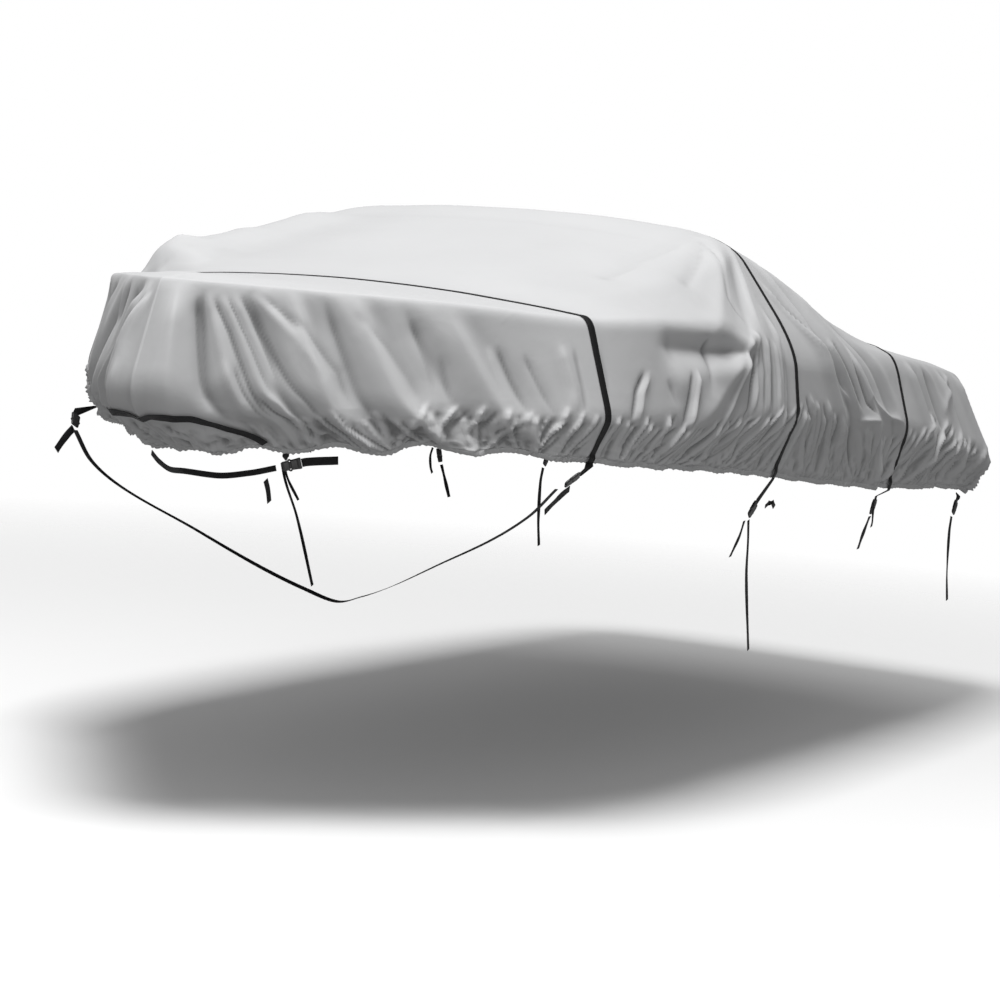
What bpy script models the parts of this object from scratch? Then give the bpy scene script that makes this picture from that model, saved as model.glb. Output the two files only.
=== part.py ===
"""A fitted boat cover of woven polyester, as it hangs when it is strapped down.

The cloth is one piece. It is tented over a high top, runs down to a flat forward top and a lower
after top, falls from a crease along its upper edge, swells over its widest line and is drawn in
underneath by a gathered hem. Three black webbing straps are sewn across it from hem to hem, a
webbing arch is sewn on at the bow end, and belts, ties and free tails hang from buckles at the hem.

Frame: metres, +X towards the stern end, +Y to starboard, +Z up. The origin is under the high top,
on the centreline, touching the underside of the cloth.

The surface has two parameters. A station runs round one side from the middle of the bow end to the
middle of the stern end; along the sides it is x itself. A level runs down the cloth: 0 ridge,
1 shoulder, 2 crease, 3 widest line, 4 hem.
"""

import bmesh
import bpy
import numpy as np
from mathutils import Matrix, Vector
from mathutils.bvhtree import BVHTree

CLOTH = 0.003
WEBBING = 0.002
WEBBING_WIDTH = 0.028
BOW_STRAP_WIDTH = 0.030
GAP = 0.0009
ARCH_GAP = 0.0050
BUCKLE_GAP = 0.0010

STRAP_STATIONS = {"fore": -1.415, "mid": 0.000, "aft": 1.244}
STRAP_WIDTHS = {"fore": BOW_STRAP_WIDTH, "mid": WEBBING_WIDTH, "aft": WEBBING_WIDTH}

# Sections. A drop is measured down from the origin, a half width out from the centreline.
# Bow end: station | top x, ridge drop, shoulder half, drop | crease x, half, drop
#          | widest x, half, drop | hem x, half, drop
BOW_SECTIONS = (
    (-2.800, -2.360, 0.319, 0.000, 0.323, -2.525, 0.000, 0.337, -2.672, 0.000, 0.735, -2.345, 0.000, 0.899),
    (-2.600, -2.340, 0.318, 0.090, 0.323, -2.450, 0.120, 0.339, -2.572, 0.145, 0.738, -2.300, 0.130, 0.878),
    (-2.350, -2.230, 0.317, 0.200, 0.324, -2.260, 0.305, 0.341, -2.360, 0.340, 0.735, -2.190, 0.315, 0.870),
    (-2.100, -2.050, 0.316, 0.330, 0.327, -2.040, 0.510, 0.343, -2.130, 0.538, 0.725, -2.020, 0.525, 0.845),
    (-1.800, -1.780, 0.315, 0.520, 0.334, -1.765, 0.755, 0.351, -1.820, 0.790, 0.712, -1.750, 0.800, 0.829),
)
# Sides: station = x | ridge drop | shoulder half, drop | crease half, drop | widest half, drop
#        | hem half, drop
SIDE_SECTIONS = (
    (-1.415, 0.305, 0.729, 0.340, 0.972, 0.365, 1.080, 0.697, 1.012, 0.852),
    (-1.150, 0.251, 0.800, 0.284, 1.055, 0.361, 1.138, 0.694, 1.078, 0.869),
    (-0.700, 0.144, 0.840, 0.189, 1.105, 0.374, 1.165, 0.689, 1.092, 0.893),
    (-0.300, 0.049, 0.845, 0.097, 1.118, 0.394, 1.172, 0.689, 1.092, 0.917),
    (-0.090, -0.009, 0.842, 0.038, 1.136, 0.423, 1.180, 0.689, 1.091, 0.933),
    (+0.000, -0.003, 0.840, 0.052, 1.144, 0.435, 1.182, 0.689, 1.090, 0.940),
    (+0.400, 0.076, 0.890, 0.159, 1.135, 0.449, 1.180, 0.704, 1.098, 0.974),
    (+0.800, 0.230, 0.945, 0.320, 1.110, 0.459, 1.178, 0.727, 1.100, 1.001),
    (+1.244, 0.349, 0.970, 0.421, 1.088, 0.474, 1.172, 0.759, 1.100, 1.024),
    (+1.700, 0.399, 0.945, 0.467, 1.066, 0.504, 1.160, 0.804, 1.088, 1.039),
    (+2.100, 0.434, 0.900, 0.497, 1.036, 0.537, 1.150, 0.849, 1.068, 1.052),
)
# Stern end: the same columns as the bow end
STERN_SECTIONS = (
    (+2.400, 2.360, 0.462, 0.840, 0.519, 2.390, 0.980, 0.559, 2.490, 1.125, 0.925, 2.440, 1.020, 1.075),
    (+2.650, 2.460, 0.474, 0.700, 0.517, 2.550, 0.880, 0.567, 2.745, 1.045, 0.955, 2.665, 0.905, 1.090),
    (+2.950, 2.500, 0.481, 0.450, 0.509, 2.630, 0.620, 0.571, 2.875, 0.745, 0.965, 2.775, 0.645, 1.095),
    (+3.250, 2.515, 0.484, 0.200, 0.503, 2.650, 0.270, 0.570, 2.905, 0.320, 0.968, 2.805, 0.280, 1.096),
    (+3.450, 2.520, 0.485, 0.000, 0.501, 2.655, 0.000, 0.569, 2.910, 0.000, 0.968, 2.810, 0.000, 1.097),
)
RIDGE, SHOULDER, CREASE, WIDEST, HEM = range(5)
# At the two ends the shoulder lies this share of the way out from the ridge to the crease
SHOULDER_REACH = 0.4

# How far each bend of a section is rounded, as a share of the band on either side:
# station | shoulder | crease | widest line
BENDS = (
    (-2.800, 0.30, 0.12, 0.30),
    (-2.250, 0.30, 0.12, 0.26),
    (-1.900, 0.30, 0.12, 0.18),
    (-1.415, 0.30, 0.13, 0.14),
    (-0.700, 0.30, 0.13, 0.15),
    (-0.350, 0.28, 0.16, 0.14),
    (+0.000, 0.22, 0.34, 0.13),
    (+0.800, 0.30, 0.40, 0.20),
    (+1.244, 0.30, 0.30, 0.15),
    (+2.100, 0.30, 0.24, 0.18),
    (+3.450, 0.30, 0.22, 0.36),
)
CROWN = 0.9

# Metres of cloth from the ridge down to each level, for measuring how far a point is from a fold
LEVEL_GIRTH = (0.0, 0.80, 1.16, 1.49, 1.74)

# Folds: sides (P, S or both) | from station, level | to station, level | half width | height
#        | runs out at the hem
# A height under nought is a trough. A fold narrower than FOLD_BROAD has a trough in its lee.
FOLDS = (
    ("PS", -2.71, 2.06, -2.64, 3.45, 0.110, +0.034, 0),
    ("P", -2.60, 2.12, -2.50, 3.15, 0.040, -0.020, 0),
    ("P", -2.45, 2.08, -2.20, 3.80, 0.045, -0.024, 0),
    ("PS", -2.33, 2.06, -2.08, 3.90, 0.042, +0.022, 1),
    ("P", -2.24, 2.06, -1.97, 3.85, 0.040, -0.020, 1),
    ("P", -2.16, 2.05, -1.84, 3.95, 0.045, +0.020, 1),
    ("P", -2.02, 2.08, -1.72, 3.70, 0.050, -0.014, 0),
    ("P", -1.90, 2.10, -1.58, 3.95, 0.050, +0.015, 1),
    ("S", -2.66, 2.12, -2.34, 3.20, 0.045, +0.020, 0),
    ("S", -2.38, 2.10, -2.02, 3.20, 0.060, -0.028, 0),
    ("S", -2.14, 2.08, -1.86, 3.40, 0.050, +0.016, 0),
    ("S", -1.24, 1.34, -1.18, 1.44, 0.115, +0.064, 0),
    ("S", -1.30, 1.20, -0.44, 1.04, 0.180, +0.062, 0),
    ("S", -1.34, 1.40, -1.24, 1.95, 0.060, -0.020, 0),
    ("S", -1.80, 2.05, -1.76, 3.30, 0.300, -0.028, 0),
    ("P", -0.14, 1.10, -0.62, 1.95, 0.060, +0.014, 0),
    ("PS", -0.34, 2.24, -0.98, 2.26, 0.060, -0.030, 0),
    ("PS", -0.10, 1.15, -0.36, 2.00, 0.050, -0.012, 0),
    ("P", -0.28, 1.95, -0.92, 3.30, 0.075, +0.018, 0),
    ("PS", -0.12, 1.70, -0.16, 3.20, 0.040, +0.018, 0),
    ("PS", -0.30, 2.05, -0.44, 3.40, 0.050, -0.016, 0),
    ("P", +0.12, 1.10, +0.52, 3.50, 0.055, +0.024, 0),
    ("PS", +0.24, 1.15, +0.72, 3.60, 0.055, -0.018, 0),
    ("PS", +0.38, 1.20, +0.98, 3.70, 0.060, +0.022, 1),
    ("S", +0.16, 1.20, +0.34, 3.20, 0.055, +0.020, 0),
    ("P", +0.70, 1.30, +1.12, 3.20, 0.050, -0.014, 0),
    ("PS", +1.40, 2.00, +1.66, 3.80, 0.060, +0.018, 1),
    ("PS", +1.62, 2.00, +1.90, 3.70, 0.055, -0.015, 0),
    ("P", +1.86, 2.00, +2.14, 3.90, 0.055, +0.017, 1),
    ("PS", +2.20, 1.95, +2.46, 3.90, 0.070, +0.022, 1),
    ("P", +2.50, 2.10, +2.62, 3.80, 0.055, -0.016, 0),
    ("PS", +2.85, 2.05, +2.90, 3.80, 0.060, +0.018, 1),
    ("S", +1.92, 2.05, +2.05, 3.70, 0.060, +0.016, 1),
)
FOLD_BROAD = 0.112
FOLD_LEE = 0.42
FOLD_LEE_AT = 1.7
FOLD_NARROW = 0.55
FOLD_WIDEN = 0.60
FOLD_LEAD = -0.03
FOLD_START = 0.10
FOLD_RUN_OUT = 1.2

# Slanting pleats between the widest line and the hem
PLEAT_PITCH = 0.255
PLEAT_SLANT = 0.35
PLEAT_HEIGHT = 0.009
PLEAT_TOP = 2.85
PLEAT_FULL = 3.70
# Uneven spacing of the pleats: amount | turns along the cloth | start
PLEAT_WANDER = ((0.9, 2.3, 0.7), (0.5, 5.9, 0.0))
PLEAT_SHIFT = {"P": 0.0, "S": 0.8}
# A strap holds the cloth flat this much, as far out as this share of its width
STRAP_HOLD = 0.96
STRAP_REACH = 1.6
# The folds begin between these levels on the top, and keep this share at the middle of the bow end
FOLDS_FROM = (0.50, 0.95)
STEM_SHARE = 0.35
END_REACH = 0.15
STEM_REACH = 0.10

# Columns of the cloth's mesh between named stations, as (from, to, cells)
COLUMN_RUNS = (
    (-2.800, -1.415, 15),
    (-1.415, -0.090, 10),
    (-0.090, 0.000, 1),
    (0.000, 1.244, 10),
    (1.244, 2.100, 6),
    (2.100, 3.450, 11),
)
LEVELS = (
    *(0, 0.40, 0.72, 0.88, 1.0, 1.12, 1.40, 1.70, 1.88, 2.0),
    *(2.14, 2.45, 2.74, 2.88, 3.0, 3.13, 3.32, 3.56, 3.80, 4.0),
)

# The bow arch: station | level of its middle line, from the middle of the bow end out to each foot
ARCH = (
    *((-2.800, 3.30), (-2.740, 3.20), (-2.660, 3.15), (-2.600, 3.17)),
    *((-2.550, 3.27), (-2.500, 3.45), (-2.460, 3.64), (-2.420, 3.84)),
)
ARCH_CELLS = 26
ARCH_SEARCH = 0.08

BUCKLE_WIDTH, BUCKLE_DEPTH, BUCKLE_LENGTH = 0.038, 0.012, 0.064
BUCKLE_BEVEL = 0.003
BUCKLE_CUTS = 3
# Shares by which a buckle's middle is waisted, its lower end narrower and its lower end thinner
BUCKLE_WAIST, BUCKLE_TAPER, BUCKLE_THINNER = 0.16, 0.10, 0.25
NARROW = 0.020

# Buckles under the hem, on both sides: middle (x, half, drop) | towards (x, half, drop)
BUCKLES = {
    "fore": ((-1.545, 1.024, 0.905), (-1.590, 0.993, 0.945)),
    "mid": ((-0.050, 1.050, 1.062), (-0.085, 1.042, 1.105)),
    "aft": ((1.245, 1.050, 1.104), (1.247, 1.040, 1.150)),
    "stern": ((2.305, 1.046, 1.150), (2.272, 1.046, 1.205)),
}
# Where the stern buckle's webbing is sewn to the hem
STERN_TAB = (2.372, 1.034, 1.094)
STRAIGHT_END = 0.014

# Ties below the buckles, on both sides: width, then route as (x, half, drop)
TIES = {
    "tie_mid_outer": (
        NARROW,
        (
            (-0.080, 1.050, 1.102),
            (-0.060, 1.046, 1.160),
            (0.020, 1.020, 1.330),
            (0.150, 1.000, 1.625),
        ),
    ),
    "tie_mid_inner": (
        NARROW,
        (
            (-0.086, 1.036, 1.106),
            (-0.078, 1.020, 1.160),
            (-0.050, 0.975, 1.252),
        ),
    ),
    "tie_aft": (
        WEBBING_WIDTH,
        (
            (1.248, 1.038, 1.146),
            (1.252, 1.020, 1.200),
            (1.262, 0.993, 1.290),
        ),
    ),
    "tie_stern": (
        WEBBING_WIDTH,
        (
            (2.276, 1.045, 1.190),
            (2.262, 1.046, 1.260),
            (2.276, 1.048, 1.440),
            (2.308, 1.050, 1.574),
        ),
    ),
    "tail_fore": (
        WEBBING_WIDTH,
        (
            (-1.556, 1.022, 0.934),
            (-1.592, 1.016, 0.952),
            (-1.640, 1.008, 0.982),
            (-1.680, 1.000, 1.010),
        ),
    ),
    "tail_mid": (
        NARROW,
        (
            (0.004, 1.078, 1.050),
            (0.036, 1.082, 1.036),
            (0.090, 1.066, 1.034),
            (0.150, 1.055, 1.060),
        ),
    ),
    "tail_aft": (
        NARROW,
        (
            (1.206, 1.066, 1.070),
            (1.196, 1.070, 1.110),
            (1.204, 1.068, 1.160),
            (1.212, 1.062, 1.186),
        ),
    ),
}
# Belts that pass under the middle, from one side's buckle to the other's: width, then route out from
# the middle
BELTS = {
    "belt_fore": (
        WEBBING_WIDTH,
        (
            (-1.300, 0.000, 1.462),
            (-1.335, 0.120, 1.428),
            (-1.470, 0.500, 1.258),
            (-1.600, 0.900, 1.040),
            (-1.588, 0.990, 0.938),
        ),
    ),
    "belt_bow": (
        NARROW,
        (
            (-2.312, 0.000, 0.962),
            (-2.262, 0.090, 0.968),
            (-2.205, 0.180, 0.952),
            (-2.155, 0.248, 0.930),
        ),
    ),
}
BOW_BUCKLE = ((-2.128, 0.290, 0.916), (-2.160, 0.242, 0.932))
BOW_TAB = (-2.020, 0.400, 0.893)
TIE_BOW = ((-2.172, 0.222, 0.972), (-2.128, 0.205, 1.006), (-2.078, 0.182, 1.052))
ROUTE_SPACING = 0.045

PARTS_NAME = "boat_cover"
SIDE_NAMES = {"P": "port", "S": "starboard"}
ALONG = (1.0, 0.0, 0.0)
UPRIGHT = (0.0, 0.0, 1.0)
STEP = 1e-4


def slopes(knots, values):
    """Tangents at the knots that keep the curve between them from overshooting."""
    steps = np.diff(knots)
    rates = np.diff(values) / steps
    left = 2 * steps[1:] + steps[:-1]
    right = steps[1:] + 2 * steps[:-1]
    same_way = rates[:-1] * rates[1:] > 0
    before = np.where(same_way, rates[:-1], 1)
    after = np.where(same_way, rates[1:], 1)
    inner = np.where(same_way, (left + right) / (left / before + right / after), 0)
    return np.concatenate([rates[:1], inner, rates[-1:]])


def curve(at, knots, values):
    """A smooth curve through (knots, values), read at the given places."""
    knots = np.asarray(knots, float)
    values = np.asarray(values, float)
    tangents = slopes(knots, values)
    cell = np.clip(np.searchsorted(knots, at) - 1, 0, len(knots) - 2)
    step = knots[cell + 1] - knots[cell]
    t = (at - knots[cell]) / step
    rise = t * t * (3 - 2 * t)
    return (
        (1 - rise) * values[cell]
        + rise * values[cell + 1]
        + t * (1 - t) ** 2 * step * tangents[cell]
        - t * t * (1 - t) * step * tangents[cell + 1]
    )


def level_knots():
    """Stations, and for each level its (x, half width, z) at every station."""
    rows = []
    for station, top_x, ridge, *rest in BOW_SECTIONS + STERN_SECTIONS:
        shoulder = (top_x + SHOULDER_REACH * (rest[2] - top_x), rest[0], -rest[1])
        others = [(rest[k], rest[k + 1], -rest[k + 2]) for k in (2, 5, 8)]
        rows.append((station, [(top_x, 0.0, -ridge), shoulder, *others]))
    for x, ridge, *rest in SIDE_SECTIONS:
        rows.append((x, [(x, 0.0, -ridge)] + [(x, rest[k], -rest[k + 1]) for k in (0, 2, 4, 6)]))
    rows.sort(key=lambda row: row[0])
    return np.array([row[0] for row in rows]), np.array([row[1] for row in rows])


STATIONS, KNOTS = level_knots()


def on_levels(station):
    """Points of the five levels at each station, in an array of (5, ..., 3)."""
    return np.stack(
        [np.stack([curve(station, STATIONS, KNOTS[:, k, axis]) for axis in range(3)], -1) for k in range(5)]
    )


def plain_cloth(station, level):
    """The cloth with no folds: straight bands between the levels, a crowned top and rounded bends."""
    lines = on_levels(station)

    def straight(where):
        band = np.clip(np.floor(where).astype(int), 0, 3)
        share = (where - band)[..., None]
        pick = np.broadcast_to(band[None, ..., None], (1, *band.shape, 3))
        upper = np.take_along_axis(lines, pick, 0)[0]
        lower = np.take_along_axis(lines, pick + 1, 0)[0]
        points = upper * (1 - share) + lower * share
        crown = np.where(band == 0, where * (1 - where) * CROWN, 0)
        points[..., 2] += crown * (lines[RIDGE][..., 2] - lines[SHOULDER][..., 2])
        return points

    cloth = straight(level)
    bends = np.array(BENDS)
    for k in (SHOULDER, CREASE, WIDEST):
        reach = curve(station, bends[:, 0], bends[:, k])
        share = (level - (k - reach)) / (2 * reach)
        inside = ((share > 0) & (share < 1))[..., None]
        share = share[..., None]
        before = straight(np.broadcast_to(k - reach, level.shape))
        after = straight(np.broadcast_to(k + reach, level.shape))
        rounded = (1 - share) ** 2 * before + 2 * share * (1 - share) * lines[k] + share**2 * after
        cloth = np.where(inside, rounded, cloth)
    return cloth


def smooth(value, low, high):
    t = np.clip((value - low) / (high - low), 0, 1)
    return t * t * (3 - 2 * t)


def fold_heights(station, level, side):
    """How far the folds of one side lift the cloth off its plain surface."""
    girth = np.interp(level, range(5), LEVEL_GIRTH)
    height = np.zeros_like(girth)
    for sides, s0, l0, s1, l1, half_width, rise, runs_out in FOLDS:
        if side not in sides:
            continue
        g0, g1 = np.interp((l0, l1), range(5), LEVEL_GIRTH)
        length = np.hypot(s1 - s0, g1 - g0)
        along_s, along_g = (s1 - s0) / length, (g1 - g0) / length
        along = (station - s0) * along_s + (girth - g0) * along_g
        across = (station - s0) * along_g - (girth - g0) * along_s
        past = np.where(along < 0, -along, 0)
        if not runs_out:
            past = past + np.where(along > length, along - length, 0)
        spread = half_width * (FOLD_NARROW + FOLD_WIDEN * np.clip(along / length, 0, 1))
        share = across / spread
        side_on = np.exp(-(share**2))
        if half_width < FOLD_BROAD:
            side_on = side_on - FOLD_LEE * np.exp(-((share - FOLD_LEE_AT) ** 2))
        starts = smooth(along, FOLD_LEAD, FOLD_START)
        height += rise * side_on * starts * np.exp(-((past / (FOLD_RUN_OUT * half_width)) ** 2))
    slanted = station + PLEAT_SLANT * (girth - LEVEL_GIRTH[WIDEST])
    wander = sum(amount * np.sin(turns * slanted + start) for amount, turns, start in PLEAT_WANDER)
    pleats = np.sin(2 * np.pi * slanted / PLEAT_PITCH + wander + PLEAT_SHIFT[side])
    height += PLEAT_HEIGHT * smooth(level, PLEAT_TOP, PLEAT_FULL) * pleats
    for name, at in STRAP_STATIONS.items():
        near = (station - at) / (STRAP_REACH * STRAP_WIDTHS[name])
        height *= 1 - STRAP_HOLD * np.exp(-(near**2))
    height *= smooth(level, *FOLDS_FROM) * smooth(STATIONS[-1] - station, 0, END_REACH)
    return height * (STEM_SHARE + (1 - STEM_SHARE) * smooth(station - STATIONS[0], 0, STEM_REACH))


def cloth_and_normal(station, level, side):
    """The folded cloth and its outward unit normal; side is P (negative Y) or S."""
    station, level = np.broadcast_arrays(np.asarray(station, float), np.asarray(level, float))
    turn = np.array([1.0, -1.0 if side == "P" else 1.0, 1.0])
    first, last = STATIONS[0], STATIONS[-1]
    beside = np.clip(station, first + 0.02, last - 0.02)
    below = np.clip(level, 0.05, HEM - STEP)
    along = plain_cloth(beside + STEP, below) - plain_cloth(beside - STEP, below)
    fall = plain_cloth(beside, below + STEP) - plain_cloth(beside, below - STEP)
    normal = np.cross(along, fall)
    normal[(station == first) | (station == last) | (level == 0)] *= (1, 0, 1)
    normal /= np.linalg.norm(normal, axis=-1, keepdims=True)
    points = plain_cloth(station, level) + normal * fold_heights(station, level, side)[..., None]
    return points * turn, normal * turn


def column_stations():
    """Stations of the cloth's columns, with one on each edge of every strap."""
    stations = []
    edges = {at: STRAP_WIDTHS[name] / 2 for name, at in STRAP_STATIONS.items()}
    for start, end, cells in COLUMN_RUNS:
        start += edges.get(start, 0)
        end -= edges.get(end, 0)
        stations.extend(np.linspace(start, end, cells + 1))
    return np.unique(np.round(stations, 6))


def new_object(name, points, faces, material):
    mesh = bpy.data.meshes.new(name)
    mesh.from_pydata([tuple(map(float, p)) for p in points], [], faces)
    mesh.materials.append(material)
    obj = bpy.data.objects.new(name, mesh)
    bpy.data.collections[PARTS_NAME].objects.link(obj)
    return obj


def thicken(obj, thickness):
    solidify = obj.modifiers.new("thickness", "SOLIDIFY")
    solidify.thickness = thickness
    solidify.offset = -1
    solidify.use_rim = True


def grid_triangles(columns, rows, flip):
    """Triangles of a grid numbered column by column; the last corner, at the stern end, is cut across."""
    faces = []
    for i in range(columns - 1):
        for j in range(rows - 1):
            a, b = i * rows + j, (i + 1) * rows + j
            pair = ((a, b, b + 1), (a, b + 1, a + 1))
            if (i, j) == (columns - 2, 0):
                pair = ((a, b, a + 1), (b, b + 1, a + 1))
            faces.extend(tri[::-1] if flip else tri for tri in pair)
    return faces


def material(name, colour, roughness):
    made = bpy.data.materials.new(name)
    made.use_nodes = True
    shader = made.node_tree.nodes["Principled BSDF"]
    shader.inputs["Base Color"].default_value = (*colour, 1)
    shader.inputs["Roughness"].default_value = roughness
    shader.inputs["Metallic"].default_value = 0
    return made


def make_cover(cloth):
    """Both halves as one open sheet, joined along the ridge and at the two ends, then thickened."""
    stations = column_stations()
    grid_s, grid_l = np.meshgrid(stations, LEVELS, indexing="ij")
    halves = {side: cloth_and_normal(grid_s, grid_l, side)[0] for side in "PS"}
    shared = np.zeros(grid_s.shape, bool)
    shared[:, 0] = shared[0] = shared[-1] = True
    mean = (halves["P"] + halves["S"]) / 2
    mean[..., 1] = 0
    points, faces = [], []
    for side, half in halves.items():
        half[shared] = mean[shared]
        start = len(points)
        points.extend(half.reshape(-1, 3))
        triangles = grid_triangles(len(stations), len(LEVELS), flip=side == "P")
        faces.extend(tuple(v + start for v in tri) for tri in triangles)
    obj = new_object("cover", points, faces, cloth)
    weld(obj.data)
    thicken(obj, CLOTH)
    obj.data.shade_smooth()
    return obj


def weld(mesh):
    form = bmesh.new()
    form.from_mesh(mesh)
    bmesh.ops.remove_doubles(form, verts=form.verts, dist=1e-5)
    form.to_mesh(mesh)
    form.free()


def both_sides(station, levels):
    """Points and normals of one column, from the port hem over the ridge to the starboard hem."""
    port, port_normal = cloth_and_normal(station, levels, "P")
    star, star_normal = cloth_and_normal(station, levels, "S")
    ridge = (port[:1] + star[:1]) / 2 * (1, 0, 1)
    points = np.concatenate([port[:0:-1], ridge, star[1:]])
    return points, np.concatenate([port_normal[:0:-1], star_normal])


def strip_object(name, lines, colour):
    """A strip of webbing on lines of points, given from its forward edge to its after one."""
    rows = len(lines[0])
    faces = grid_triangles(len(lines), rows, flip=False)
    obj = new_object(name, np.concatenate(lines), faces, colour)
    thicken(obj, WEBBING)
    return obj


def buckle_axes(middle, towards, face):
    """Unit directions down a buckle, across it and out of its face."""
    down = unit(towards - middle)
    across = unit(np.array(face) - down * (down @ np.array(face)))
    return down, across, np.cross(across, down)


def webbing_end(middle, towards, width, face=ALONG):
    """The two edges of a straight end of webbing that stops at a buckle, in an array of (2, 2, 3)."""
    down, across, _ = buckle_axes(middle, towards, face)
    end = middle - down * (BUCKLE_LENGTH / 2 + BUCKLE_GAP)
    run = np.array([end - down * STRAIGHT_END, end])
    return np.array([run - across * width / 2, run + across * width / 2])


def make_strap(name, colour):
    """Webbing sewn across the cloth on two of its columns; both ends run past the hem to a buckle."""
    width = STRAP_WIDTHS[name]
    ends = {side: webbing_end(*(placed(point, side) for point in BUCKLES[name]), width) for side in "PS"}
    lines = []
    for edge, turn in enumerate((-1, 1)):
        station = round(STRAP_STATIONS[name] + turn * width / 2, 6)
        points, normals = both_sides(station, np.array(LEVELS, float))
        sewn = points + normals * (GAP + WEBBING)
        lines.append(np.concatenate([ends["P"][edge][::-1], sewn, ends["S"][edge]]))
    return strip_object("strap_" + name, lines, colour)


def along_route(route, spacing=ROUTE_SPACING):
    """Points about a spacing apart on a smooth curve through a route."""
    route = np.array(route, float)
    reach = np.concatenate([[0], np.cumsum(np.linalg.norm(np.diff(route, axis=0), axis=1))])
    at = np.linspace(0, reach[-1], max(3, int(round(reach[-1] / spacing)) + 1))
    return np.stack([curve(at, reach, route[:, k]) for k in range(3)], -1)


def unit(vectors):
    return vectors / np.linalg.norm(vectors, axis=-1, keepdims=True)


def ribbon(name, points, width, colour, face=ALONG):
    """Webbing along points; its width lies as near to the direction of face as the route allows."""
    run = unit(np.gradient(points, axis=0))
    across = np.array(face) - run * (run @ np.array(face))[:, None]
    across = unit(across) * width / 2
    return strip_object(name, [points - across, points + across], colour)


def placed(point, side):
    x, half, drop = point
    return np.array([x, -half if side == "P" else half, -drop])


def make_buckle(name, middle, towards, colour, face=ALONG):
    """A side-release buckle: a bevelled body, waisted towards its lower end, in line with its webbing."""
    form = bmesh.new()
    bmesh.ops.create_cube(form, size=1)
    bmesh.ops.scale(form, vec=(BUCKLE_WIDTH, BUCKLE_DEPTH, BUCKLE_LENGTH), verts=form.verts)
    upright = [e for e in form.edges if abs(e.verts[0].co.z - e.verts[1].co.z) > BUCKLE_LENGTH / 2]
    bmesh.ops.subdivide_edges(form, edges=upright, cuts=BUCKLE_CUTS)
    for vert in form.verts:
        share = 0.5 - vert.co.z / BUCKLE_LENGTH
        vert.co.x *= 1 - BUCKLE_WAIST * np.sin(np.pi * share) - BUCKLE_TAPER * share
        vert.co.y *= 1 - BUCKLE_THINNER * share
    bmesh.ops.bevel(
        form,
        geom=form.edges,
        offset=BUCKLE_BEVEL,
        segments=2,
        affect="EDGES",
        profile=0.6,
        clamp_overlap=True,
    )
    bmesh.ops.recalc_face_normals(form, faces=form.faces)
    mesh = bpy.data.meshes.new(name)
    form.to_mesh(mesh)
    form.free()
    mesh.materials.append(colour)
    down, across, out = buckle_axes(middle, towards, face)
    obj = bpy.data.objects.new(name, mesh)
    turn = Matrix((across, out, -down)).transposed()
    obj.matrix_world = Matrix.Translation(Vector(middle)) @ turn.to_4x4()
    bpy.data.collections[PARTS_NAME].objects.link(obj)
    return obj


def make_tab(name, start, middle, towards, colour, face=ALONG):
    """A short piece of webbing between the hem and the top of a buckle."""
    edges = webbing_end(middle, towards, WEBBING_WIDTH, face)
    across = edges[1][0] - edges[0][0]
    lines = [np.concatenate([[start + across * turn], edge]) for turn, edge in zip((-0.5, 0.5), edges)]
    strip_object(name, lines, colour)


def make_arch(cover, colour):
    """Webbing bent over the bow end in an arch, lying on the cloth."""
    knots = np.array(ARCH)
    reach = np.linspace(0, 1, ARCH_CELLS + 1)
    knot_reach = np.concatenate([[0], np.cumsum(np.hypot(*np.diff(knots, axis=0).T * [[1], [0.25]]))])
    knot_reach /= knot_reach[-1]
    station = curve(reach, knot_reach, knots[:, 0])
    level = curve(reach, knot_reach, knots[:, 1])
    port, port_normal = cloth_and_normal(station, level, "P")
    star, star_normal = cloth_and_normal(station, level, "S")
    centre = np.concatenate([port[:0:-1], (port[:1] + star[:1]) / 2, star[1:]])
    out = np.concatenate([port_normal[:0:-1], star_normal])
    run = unit(np.gradient(centre, axis=0))
    across = unit(np.cross(run, out)) * WEBBING_WIDTH / 2
    if across[ARCH_CELLS][0] > 0:
        across = -across
    tree = BVHTree.FromPolygons(
        [v.co for v in cover.data.vertices], [tuple(p.vertices) for p in cover.data.polygons]
    )
    lines = []
    for edge in (centre + across, centre, centre - across):
        lifted = []
        for point, normal in zip(edge, out):
            start = Vector(point + normal * ARCH_SEARCH)
            hit = tree.ray_cast(start, Vector(-normal))[0]
            near = hit if hit is not None else Vector(point)
            lifted.append(np.array(near) + normal * (ARCH_GAP + WEBBING))
        lines.append(np.array(lifted))
    return strip_object("bow_arch", lines, colour)


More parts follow.
